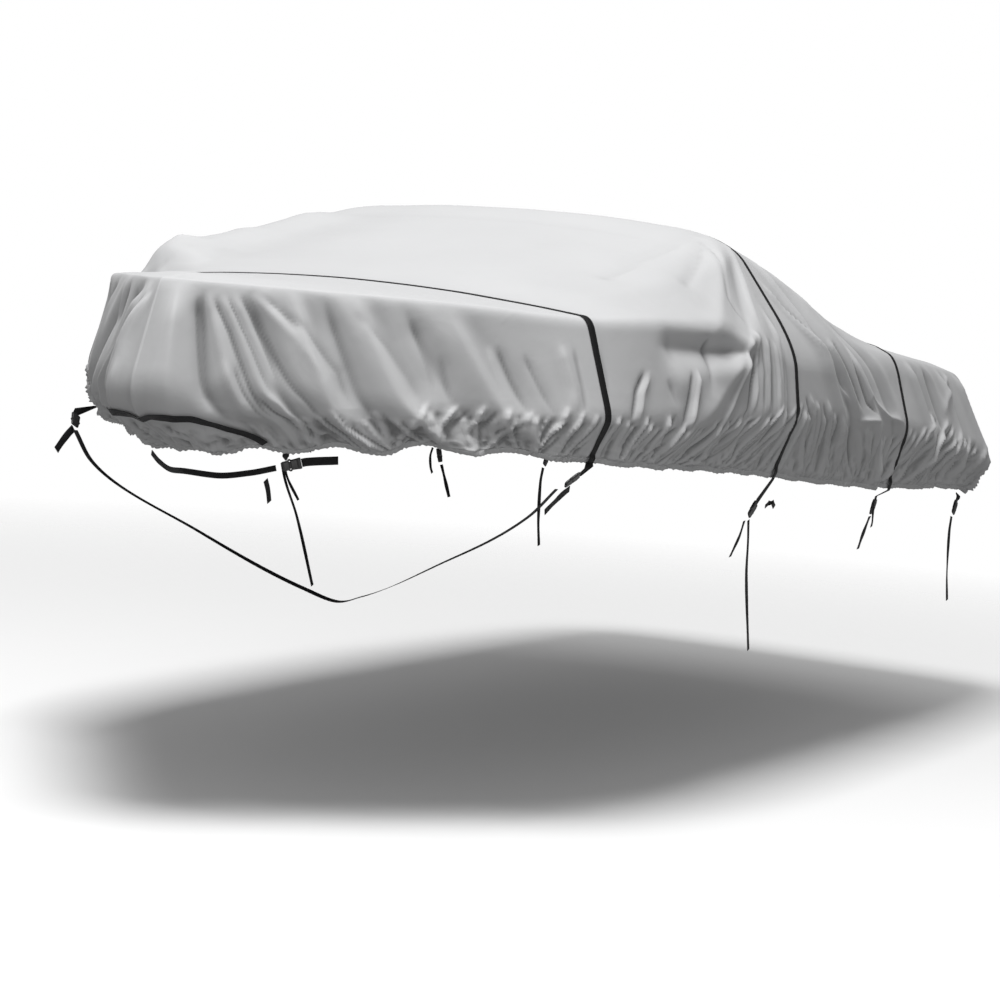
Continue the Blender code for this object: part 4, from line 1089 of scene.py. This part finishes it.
def webbing_group():
    """Webbing: ribs along a chevron, and a mask of the stitch lines beside both edges."""
    inputs = (
        ("Metres", "NodeSocketVector", None),
        ("Rib", "NodeSocketFloat", 0.003),
        ("Stitch line", "NodeSocketFloat", 0.009),
        ("Stitch", "NodeSocketFloat", 0.006),
    )
    group, given, out = group_sockets("ribbed_webbing", inputs, ("Height", "Thread"))
    axes = group.nodes.new("ShaderNodeSeparateXYZ")
    group.links.new(given.outputs["Metres"], axes.inputs[0])
    beside = sums(group, "ABSOLUTE", axes.outputs["X"])
    slanted = sums(group, "ADD", axes.outputs["Y"], beside)
    rib = sums(group, "DIVIDE", 2 * np.pi, given.outputs["Rib"])
    ribs = sums(group, "SINE", sums(group, "MULTIPLY", slanted, rib))
    group.links.new(sums(group, "MULTIPLY_ADD", ribs, 0.5, 0.5), out.inputs["Height"])
    off = sums(group, "ABSOLUTE", sums(group, "SUBTRACT", beside, given.outputs["Stitch line"]))
    on_line = sums(group, "LESS_THAN", off, THREAD / 2)
    dash = sums(group, "FRACT", sums(group, "DIVIDE", axes.outputs["Y"], given.outputs["Stitch"]))
    in_stitch = sums(group, "LESS_THAN", dash, STITCH_SHARE)
    group.links.new(sums(group, "MULTIPLY", on_line, in_stitch), out.inputs["Thread"])
    return group


def new_material(name, shine=None):
    """A material with its node tree and its shader."""
    made = bpy.data.materials.new(name)
    made.use_nodes = True
    shader = made.node_tree.nodes["Principled BSDF"]
    for label, value in (shine or {}).items():
        shader.inputs[label].default_value = value
    return made, made.node_tree, shader


def placed_group(tree, name, build, feed, **values):
    """A shared group placed in a material, with a position fed to it and its own values."""
    node = tree.nodes.new("ShaderNodeGroup")
    node.node_tree = bpy.data.node_groups.get(name) or build()
    for label, value in values.items():
        node.inputs[label].default_value = value
    tree.links.new(feed, node.inputs[0])
    return node


def on_uv(tree):
    """The piece's own UV, in metres across and along it."""
    node = tree.nodes.new("ShaderNodeUVMap")
    node.uv_map = "cloth_metres"
    return node.outputs[0]


def on_object(tree):
    """The piece's own coordinates."""
    return tree.nodes.new("ShaderNodeTexCoord").outputs["Object"]


def mottled(tree, scales):
    """The shared mottle at the scales of a finish."""
    patch, crease = scales
    return placed_group(tree, "soft_mottle", mottle_group, on_object(tree), Patch=patch, Crease=crease)


def blend_colours(tree, factor, first, second, to):
    """From the first colour at 0 to the second at 1."""
    mix = tree.nodes.new("ShaderNodeMix")
    mix.data_type = "RGBA"
    mix.inputs["A"].default_value = (*first, 1)
    mix.inputs["B"].default_value = (*second, 1)
    tree.links.new(factor, mix.inputs["Factor"])
    tree.links.new(mix.outputs["Result"], to)


def range_of(tree, value, low, high, to, start=0.0, end=1.0):
    """A value mapped from start..end to low..high."""
    node = tree.nodes.new("ShaderNodeMapRange")
    for label, limit in (("From Min", start), ("From Max", end), ("To Min", low), ("To Max", high)):
        node.inputs[label].default_value = limit
    tree.links.new(value, node.inputs["Value"])
    tree.links.new(node.outputs["Result"], to)


def bumped(tree, height, distance, strength, before=None):
    """The normal bent by a height, over the one before it."""
    node = tree.nodes.new("ShaderNodeBump")
    node.inputs["Distance"].default_value = distance
    node.inputs["Strength"].default_value = strength
    tree.links.new(height, node.inputs["Height"])
    if before is not None:
        tree.links.new(before, node.inputs["Normal"])
    return node.outputs["Normal"]


def shaded(colour, share):
    """A share of a colour, darker under 1 and lighter over it."""
    return tuple(channel * share for channel in colour)


def cloth_material():
    """Coated woven polyester: plain weave, soft patches, fine creasing, painted shade in the valleys of the
    folds and a painted highlight on their crests.
    """
    looks = bpy.context.scene.boat_cover_colours
    made, tree, shader = new_material("woven_polyester", CLOTH_SHINE)
    weave = placed_group(tree, "plain_weave", woven_group, on_uv(tree), Yarn=looks.yarn)
    mottle = mottled(tree, CLOTH_MOTTLE)
    colour = tuple(looks.cloth)
    # Painted shade in the valleys of the folds and a painted highlight on their crests, from the fold depth
    # stored on the points
    painted_fold_shade = tree.nodes.new("ShaderNodeAttribute")
    painted_fold_shade.attribute_name = "painted_fold_shade"
    tone = sums(tree, "MULTIPLY_ADD", mottle.outputs["Patches"], PATCH_TONE, PLAIN_TONE)
    tone = sums(tree, "MULTIPLY_ADD", sums(tree, "MAXIMUM", painted_fold_shade.outputs["Fac"], 0.0), VALLEY_PAINTED_SHADE, tone)
    tone = sums(tree, "MULTIPLY_ADD", painted_fold_shade.outputs["Fac"], FOLD_PAINTED_LIGHT_AND_SHADE, tone, clamp=True)
    # Dark and light copies of the colour: the dark one is reached only through the painted shade of the
    # valleys
    dark, light = (shaded(colour, share) for share in CLOTH_MOTTLE_AND_PAINTED_SHADE_RANGE)
    blend_colours(tree, tone, dark, light, shader.inputs["Base Color"])
    range_of(tree, mottle.outputs["Creasing"], *CLOTH_ROUGHNESS, shader.inputs["Roughness"])
    normal = bumped(tree, mottle.outputs["Creasing"], looks.creasing, CREASING_STRENGTH)
    normal = bumped(tree, weave.outputs["Height"], looks.weave_depth, WEAVE_STRENGTH, normal)
    tree.links.new(normal, shader.inputs["Normal"])
    return made


def webbing_material():
    """Black polypropylene webbing with ribs and two lines of stitching."""
    looks = bpy.context.scene.boat_cover_colours
    made, tree, shader = new_material("ribbed_webbing", WEBBING_SHINE)
    ribs = placed_group(tree, "ribbed_webbing", webbing_group, on_uv(tree))
    mottle = mottled(tree, WEBBING_MOTTLE)
    colour = tuple(looks.webbing)
    thread = shaded(colour, THREAD_SHADE)
    blend_colours(tree, ribs.outputs["Thread"], colour, thread, shader.inputs["Base Color"])
    range_of(tree, mottle.outputs["Patches"], *WEBBING_ROUGHNESS, shader.inputs["Roughness"])
    normal = bumped(tree, mottle.outputs["Creasing"], *NAP)
    normal = bumped(tree, ribs.outputs["Height"], *RIBS, normal)
    tree.links.new(normal, shader.inputs["Normal"])
    return made


def plastic_material():
    """Moulded black plastic: a fine spark grain, duller in patches."""
    looks = bpy.context.scene.boat_cover_colours
    made, tree, shader = new_material("moulded_plastic")
    mottle = mottled(tree, PLASTIC_MOTTLE)
    colour = tuple(looks.plastic)
    worn = shaded(colour, WORN_SHADE)
    blend_colours(tree, mottle.outputs["Patches"], colour, worn, shader.inputs["Base Color"])
    range_of(tree, mottle.outputs["Patches"], *PLASTIC_ROUGHNESS, shader.inputs["Roughness"])
    tree.links.new(bumped(tree, mottle.outputs["Creasing"], *GRAIN), shader.inputs["Normal"])
    return made


def finish_named(name, build):
    """A finish made once and shared by the pieces that take it."""
    return bpy.data.materials.get(name) or build()


def length_setting(name, description, default, smallest=0.0):
    """A length that a user can change."""
    return bpy.props.FloatProperty(
        name=name, description=description, default=default, min=smallest, unit="LENGTH"
    )


def colour_setting(name, description, default):
    """A colour that a user can change."""
    return bpy.props.FloatVectorProperty(
        name=name, description=description, default=default, subtype="COLOR", min=0, max=1
    )


class BoatCoverSizes(bpy.types.PropertyGroup):
    cloth_thickness: length_setting("Cloth thickness", "Thickness of the woven cloth", 0.0012, 0.0004)
    webbing_thickness: length_setting("Webbing thickness", "Thickness of the webbing", 0.002, 0.001)
    hem_height: length_setting("Hem height", "Height of the gathered hem", 0.020, 0.01)
    hem_depth: length_setting("Hem depth", "Thickness of the gathered hem", 0.007, 0.004)
    buckle_width: length_setting("Buckle width", "Width of a buckle", 0.038, 0.02)
    buckle_depth: length_setting("Buckle depth", "Depth of a buckle", 0.012, 0.005)
    buckle_length: length_setting("Buckle length", "Length of a buckle", 0.064, 0.03)


class BoatCoverColours(bpy.types.PropertyGroup):
    cloth: colour_setting("Cloth", "Colour of the woven cloth", (0.50, 0.502, 0.507))
    webbing: colour_setting("Webbing", "Colour of the webbing", (0.0045, 0.0045, 0.005))
    plastic: colour_setting("Plastic", "Colour of the buckles", (0.008, 0.008, 0.0085))
    floor: colour_setting("Floor", "Colour of the floor", (0.86, 0.86, 0.86))
    yarn: length_setting("Yarn spacing", "Distance from yarn to yarn in the cloth", 0.0024)
    weave_depth: length_setting("Weave depth", "Relief of the weave", 0.00025)
    creasing: length_setting("Creasing", "Relief of the fine creasing of the cloth", 0.0035)


class BOATCOVER_OT_stage(bpy.types.Operator):
    """Pale floor, soft studio light and the camera"""

    bl_idname = "boat_cover.stage"
    bl_label = "Stage"

    def execute(self, context):
        scene = context.scene
        self.make_floor(tuple(scene.boat_cover_colours.floor))
        for name, place, aim, spread, power in LIGHTS:
            lamp = bpy.data.lights.new(name, "AREA")
            lamp.shape = "RECTANGLE"
            lamp.size, lamp.size_y = spread
            lamp.energy = power
            obj = in_scene(name, lamp)
            obj.location = place
            obj.rotation_euler = (Vector(aim) - Vector(place)).to_track_quat("-Z", "Y").to_euler()
        scene.world = self.sky()
        scene.view_settings.view_transform = "Standard"
        scene.camera = self.make_camera()
        return {"FINISHED"}

    def make_floor(self, tint):
        """A plane that fades into the background further out."""
        corners = np.array([(-1, -1, 0), (1, -1, 0), (1, 1, 0), (-1, 1, 0)]) * FLOOR_REACH + (0, 0, GROUND)
        mesh = bpy.data.meshes.new("floor")
        mesh.from_pydata(corners.tolist(), [], [(0, 1, 2, 3)])
        floor = in_scene("floor", mesh)
        made, tree, shader = new_material("pale_floor")
        noise = tree.nodes.new("ShaderNodeTexNoise")
        noise.inputs["Scale"].default_value = FLOOR_SCALE
        tree.links.new(on_object(tree), noise.inputs["Vector"])
        blend_colours(tree, noise.outputs[0], shaded(tint, FLOOR_SHADE), tint, shader.inputs["Base Color"])
        shader.inputs["Roughness"].default_value = FLOOR_ROUGHNESS
        away = tree.nodes.new("ShaderNodeVectorMath")
        away.operation = "LENGTH"
        tree.links.new(on_object(tree), away.inputs[0])
        range_of(tree, away.outputs["Value"], 1.0, 0.0, shader.inputs["Alpha"], *FLOOR_FADE)
        mesh.materials.append(made)
        floor.visible_diffuse = False

    def make_camera(self):
        """A camera at its place, turned by its heading, pitch and roll."""
        camera = bpy.data.cameras.new("camera")
        camera.lens = CAMERA_LENS
        camera.sensor_width = SENSOR
        camera.clip_end = FARTHEST
        obj = in_scene("camera", camera)
        heading, pitch, roll = np.radians(CAMERA_TURN)
        ahead = np.array([np.cos(pitch) * np.cos(heading), np.cos(pitch) * np.sin(heading), -np.sin(pitch)])
        level_right = np.array([np.sin(heading), -np.cos(heading), 0.0])
        level_down = np.cross(ahead, level_right)
        right = np.cos(roll) * level_right + np.sin(roll) * level_down
        down = np.cos(roll) * level_down - np.sin(roll) * level_right
        turn = Matrix([right, -down, -ahead]).transposed()
        obj.matrix_world = Matrix.Translation(Vector(CAMERA_PLACE)) @ turn.to_4x4()
        return obj

    def sky(self):
        """Light that grows from the ground up, behind a plain white background."""
        world = bpy.data.worlds.new("studio")
        world.use_nodes = True
        tree = world.node_tree
        axes = tree.nodes.new("ShaderNodeSeparateXYZ")
        tree.links.new(tree.nodes.new("ShaderNodeTexCoord").outputs["Generated"], axes.inputs[0])
        ramp = tree.nodes.new("ShaderNodeValToRGB")
        low, high = ramp.color_ramp.elements
        middle = ramp.color_ramp.elements.new(0.5)
        for stop, value in zip((low, middle, high), SKY):
            stop.color = (value, value, value, 1)
        low.position, middle.position, high.position = 0.0, 0.5, 1.0
        range_of(tree, axes.outputs["Z"], 0.0, 1.0, ramp.inputs["Fac"], start=-1.0)
        mix = tree.nodes.new("ShaderNodeMix")
        mix.data_type = "RGBA"
        mix.inputs["B"].default_value = (1, 1, 1, 1)
        tree.links.new(tree.nodes.new("ShaderNodeLightPath").outputs["Is Camera Ray"], mix.inputs["Factor"])
        tree.links.new(ramp.outputs["Color"], mix.inputs["A"])
        tree.links.new(mix.outputs["Result"], tree.nodes["Background"].inputs["Color"])
        return world


class BOATCOVER_OT_cloth(bpy.types.Operator):
    """The cloth in its panels and its gathered hem"""

    bl_idname = "boat_cover.cloth"
    bl_label = "Cloth"

    def execute(self, context):
        sizes = context.scene.boat_cover_sizes
        polyester = finish_named("woven_polyester", cloth_material)
        levels = np.unique(np.concatenate([np.linspace(a, b, cells + 1) for a, b, cells in ROW_RUNS]))
        girth = down_cloth(levels)
        spread = np.concatenate([-girth[:0:-1], girth])
        hem = self.make_hem(sizes, polyester)
        for name, start, end, cells, flat, area in PANELS:
            station = np.linspace(start, end, cells + 1)
            points, out = both_halves(station[:, None], levels[None, :])
            for k, shared in ((0, STATIONS[0]), (-1, STATIONS[-1])):
                if station[k] == shared:
                    points[k] = centred(points[k], points[k, ::-1])
            uv = np.stack(np.broadcast_arrays(station[:, None], spread[None, :]), -1)
            obj = new_piece(name, points, quads(*points.shape[:2]), polyester, uv)
            # Depth of the folds at each point, which the cloth's colour turns into painted shade in valleys
            # and a painted highlight on crests
            painted_fold_shade = obj.data.attributes.new("painted_fold_shade", "FLOAT", "POINT")
            painted_fold_shade.data.foreach_set("value", fold_depths_for_painted_shade(points, out).astype(np.float32).ravel())
            form = bmesh.new()
            form.from_mesh(obj.data)
            bmesh.ops.remove_doubles(form, verts=form.verts, dist=SAME_POINT)
            form.to_mesh(obj.data)
            form.free()
            walls = obj.modifiers.new("thickness", "SOLIDIFY")
            walls.thickness = sizes.cloth_thickness
            walls.offset = -1
            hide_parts("cover")
        return {"FINISHED"}

    def make_hem(self, sizes, polyester):
        """The hem: a flat oval carried round the lower edge, its cloth puckered by the elastic in it."""
        station = np.linspace(STATIONS[0], STATIONS[-1], HEM_COLUMNS // 2 + 1)
        levels = np.array([[HEM_LEVEL - HEM_SPAN, HEM_LEVEL, HEM_LEVEL + HEM_SPAN]])
        (port, port_out), (star, star_out) = (fine_cloth(station[:, None], levels, side) for side in "PS")
        for k in (0, -1):
            port[k] = star[k] = centred(port[k], star[k])
        rows = np.concatenate([port[:-1], star[:0:-1]])
        out = np.concatenate([port_out[:-1, 1], star_out[:0:-1, 1]])
        centre = rows[:, 1]
        down = unit(rows[:, 2] - rows[:, 0])
        reach = lengths_along(centre)
        turn = np.linspace(0, 2 * np.pi, HEM_AROUND, endpoint=False)
        height, depth = sizes.hem_height / 2, sizes.hem_depth / 2
        swell = self.puckers(reach, turn)
        along = np.sin(turn) * (height + PUCKER_RAISE * swell)
        outward = np.cos(turn) * depth + swell
        points = centre[:, None] + down[:, None] * along[..., None] + out[:, None] * outward[..., None]
        count = len(centre)
        faces = quads(count + 1, HEM_AROUND, closed_rows=True) % (count * HEM_AROUND)
        uv = np.stack(np.broadcast_arrays(reach[:, None], (turn * height)[None, :]), -1)
        obj = new_piece("cloth_hem", points, faces[:, ::-1], polyester, uv)
        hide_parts("cover")
        return obj

    def puckers(self, reach, turn):
        """Sines along the hem that slant round it, their spacing and size wandering with soft noise."""
        chance = np.random.default_rng(PUCKER_SEEDS["slant"])
        swell = np.zeros((len(reach), len(turn)))
        for spacing, height in PUCKERS:
            row = reach * 0 + spacing * PUCKER_ROWS
            wander = lattice(reach, row, PUCKER_WANDER_CELL, PUCKER_SEEDS["wander"]) * PUCKER_WANDER
            phase = 2 * np.pi * reach / spacing + wander
            slant = chance.uniform(*PUCKER_SLANT)
            swell += height * np.sin(phase[:, None] + slant * np.sin(turn)[None, :] * PUCKER_LEAN)
        least, more = PUCKER_SHARES
        size = lattice(reach, reach * 0 + 2, PUCKER_CELL, PUCKER_SEEDS["size"])
        return swell * (least + more * size[:, None])


def buckle_end(name, side, face):
    """Straight webbing at the upper end of a buckle, as two points, and the direction across it."""
    middle, towards = (placed(point, side) for point in BUCKLES[name])
    down, across, _ = buckle_axes(middle, towards, face)
    top = middle - down * (bpy.context.scene.boat_cover_sizes.buckle_length / 2 + BUCKLE_GAP)
    return np.array([top - down * STRAIGHT_END, top]), np.array([across, across])


class BOATCOVER_OT_straps(bpy.types.Operator):
    """The three straps and the bow arch, sewn on the cloth"""

    bl_idname = "boat_cover.straps"
    bl_label = "Sewn webbing"

    def execute(self, context):
        lift = GAP + context.scene.boat_cover_sizes.webbing_thickness / 2
        levels = np.linspace(0, HEM, STRAP_ROWS)
        reach = np.abs(np.concatenate([-levels[:0:-1], levels]))
        above, to = OVER_HEM_LEVELS
        over_hem = OVER_HEM * smooth(reach, HEM_LEVEL - above, HEM_LEVEL - to)
        for name, at in STRAP_STATIONS.items():
            width = STRAP_WIDTHS[name]
            beside = np.array([at - width / 2, at, at + width / 2])
            points, out = both_halves(beside[:, None], levels[None, :])
            centre = points.mean(0) + out[1] * (lift + over_hem)[:, None]
            across = unit(points[2] - points[0])
            (port, port_across), (star, star_across) = (buckle_end(name, side, ALONG) for side in "PS")
            knots = np.concatenate([port[::-1], centre, star])
            sideways = np.concatenate([port_across[::-1], across, star_across])
            webbing_band("strap_" + name, knots, sideways, width)
        self.make_arch(lift)
        return {"FINISHED"}

    def make_arch(self, lift):
        """Webbing bent over the bow end, along the arch's stations and levels."""
        knots = np.array(ARCH)
        steps = np.hypot(*np.diff(knots, axis=0).T * [[1], [ARCH_LEVEL_SHARE]])
        reach = np.concatenate([[0], np.cumsum(steps)]) / steps.sum()
        station, level = (curve(np.linspace(0, 1, ARCH_COLUMNS), reach, knots[:, k]) for k in (0, 1))
        port, port_out = fine_cloth(station, level, "P")
        star, star_out = fine_cloth(station, level, "S")
        centre = np.concatenate([port[:0:-1], centred(port[:1], star[:1]), star[1:]])
        out = unit(np.concatenate([port_out[:0:-1], (port_out[:1] + star_out[:1]) / 2, star_out[1:]]))
        centre = centre + out * (lift + OVER_CRUMPLE)
        across = unit(np.cross(np.gradient(centre, axis=0), out))
        webbing_band("bow_arch", centre, across, WEBBING_WIDTH)


class BOATCOVER_OT_ties(bpy.types.Operator):
    """The belts, ties, free tails and tabs of loose webbing"""

    bl_idname = "boat_cover.ties"
    bl_label = "Loose webbing"

    def execute(self, context):
        for side, word in SIDE_NAMES.items():
            for name, (width, route) in TIES.items():
                twist = TWISTS[name.split("_")[0]]
                self.band(f"{name}_{word}", [placed(p, side) for p in route], width, ALONG, twist)
            self.tab("tab_stern_" + word, placed(STERN_TAB, side), "stern", side, ALONG)
        for name, (width, route) in BELTS.items():
            half = np.array(route)
            whole = np.concatenate([half[:0:-1] * (1, -1, -1), half * (1, 1, -1)])
            face = UPRIGHT if name == "belt_bow" else ALONG
            self.band(name, whole, width, face, TWISTS["belt"], "stretched")
        self.tab("tab_bow_port", placed(BOW_TAB, "P"), "bow", "P", UPRIGHT)
        self.band("tie_bow", [placed(p, "P") for p in TIE_BOW], NARROW, ALONG)
        return {"FINISHED"}

    def band(self, name, route, width, face, twist=0.0, held="hung"):
        """Loose webbing on a smooth curve through a route."""
        points = even_path(route, LOOSE_SPACING)
        across = np.broadcast_to(np.array(face, float), points.shape)
        webbing_band(name, points, across, width, twist)

    def tab(self, name, start, buckle, side, face):
        """Webbing from where it is sewn to the upper end of a buckle."""
        ends, _ = buckle_end(buckle, side, face)
        self.band(name, [start, *ends], WEBBING_WIDTH, face)


class BOATCOVER_OT_buckles(bpy.types.Operator):
    """The side-release buckles"""

    bl_idname = "boat_cover.buckles"
    bl_label = "Buckles"

    def execute(self, context):
        for side, word in SIDE_NAMES.items():
            for name in STRAPPED_BUCKLES:
                self.make_buckle(f"buckle_{name}_{word}", name, side, ALONG)
        self.make_buckle("buckle_bow", "bow", "P", UPRIGHT)
        return {"FINISHED"}

    def make_buckle(self, name, kind, side, face):
        """A body lofted from superellipses down its length, with two curved release arms at its waist."""
        sizes = bpy.context.scene.boat_cover_sizes
        middle, towards = (placed(point, side) for point in BUCKLES[kind])
        down, across, out = buckle_axes(middle, towards, face)
        outline = np.array(BUCKLE_OUTLINE)
        share = np.linspace(0, 1, BUCKLE_RINGS)
        half_width = np.interp(share, outline[:, 0], outline[:, 1]) * sizes.buckle_width / 2
        half_depth = np.interp(share, outline[:, 0], outline[:, 2]) * sizes.buckle_depth / 2
        ring = squared(np.linspace(0, 2 * np.pi, BUCKLE_AROUND, endpoint=False), (BUCKLE_POWER, BUCKLE_POWER))
        centre = middle + down * ((share - 0.5) * sizes.buckle_length)[:, None]
        body = (
            centre[:, None]
            + across * (half_width[:, None] * ring[None, :, 0])[..., None]
            - out * (half_depth[:, None] * ring[None, :, 1])[..., None]
        )
        faces = loft_faces(BUCKLE_RINGS, BUCKLE_AROUND)
        points = [body.reshape(-1, 3)]
        arms = np.array(BUCKLE_ARMS)
        to, knots = np.linspace(0, 1, ARM_POINTS), np.linspace(0, 1, len(arms))
        profile = flat_profile(ARM_WIDTH, sizes.buckle_depth * ARM_DEPTH, ARM_AROUND)
        for turned in (-1, 1):
            at = curve(to, knots, arms[:, 0])
            off = curve(to, knots, arms[:, 1]) * turned * sizes.buckle_width / 2
            path = middle + down * ((at - 0.5) * sizes.buckle_length)[:, None] + across * off[:, None]
            run = unit(np.gradient(path, axis=0))
            side_on = unit(np.cross(run, out))
            rings, arm_faces, _ = carried(path, side_on, np.cross(side_on, run), profile)
            start = sum(len(p) for p in points)
            faces += [[corner + start for corner in arm_face] for arm_face in arm_faces]
            points.append(rings.reshape(-1, 3))
        plastic = finish_named("moulded_plastic", plastic_material)
        obj = new_piece("moulded_" + name, np.concatenate(points), faces, plastic)
        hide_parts(name)


class BOATCOVER_PT_panel(bpy.types.Panel):
    bl_label = "Boat cover"
    bl_idname = "BOATCOVER_PT_panel"
    bl_space_type = "VIEW_3D"
    bl_region_type = "UI"
    bl_category = "Boat cover"

    def draw(self, context):
        for operator in OPERATORS:
            self.layout.operator(operator.bl_idname)
        for group in (context.scene.boat_cover_sizes, context.scene.boat_cover_colours):
            box = self.layout.box()
            for name in group.__annotations__:
                box.prop(group, name)


OPERATORS = (
    BOATCOVER_OT_stage,
    BOATCOVER_OT_cloth,
    BOATCOVER_OT_straps,
    BOATCOVER_OT_ties,
    BOATCOVER_OT_buckles,
)
CLASSES = (BoatCoverSizes, BoatCoverColours, *OPERATORS, BOATCOVER_PT_panel)


def register():
    for made in CLASSES:
        bpy.utils.register_class(made)
    bpy.types.Scene.boat_cover_sizes = bpy.props.PointerProperty(type=BoatCoverSizes)
    bpy.types.Scene.boat_cover_colours = bpy.props.PointerProperty(type=BoatCoverColours)


def unregister():
    del bpy.types.Scene.boat_cover_colours
    del bpy.types.Scene.boat_cover_sizes
    for made in reversed(CLASSES):
        bpy.utils.unregister_class(made)


def main():
    register()
    bpy.ops.boat_cover.stage()
    bpy.ops.boat_cover.cloth()
    bpy.ops.boat_cover.straps()
    bpy.ops.boat_cover.ties()
    bpy.ops.boat_cover.buckles()


if __name__ == "__main__":
    main()
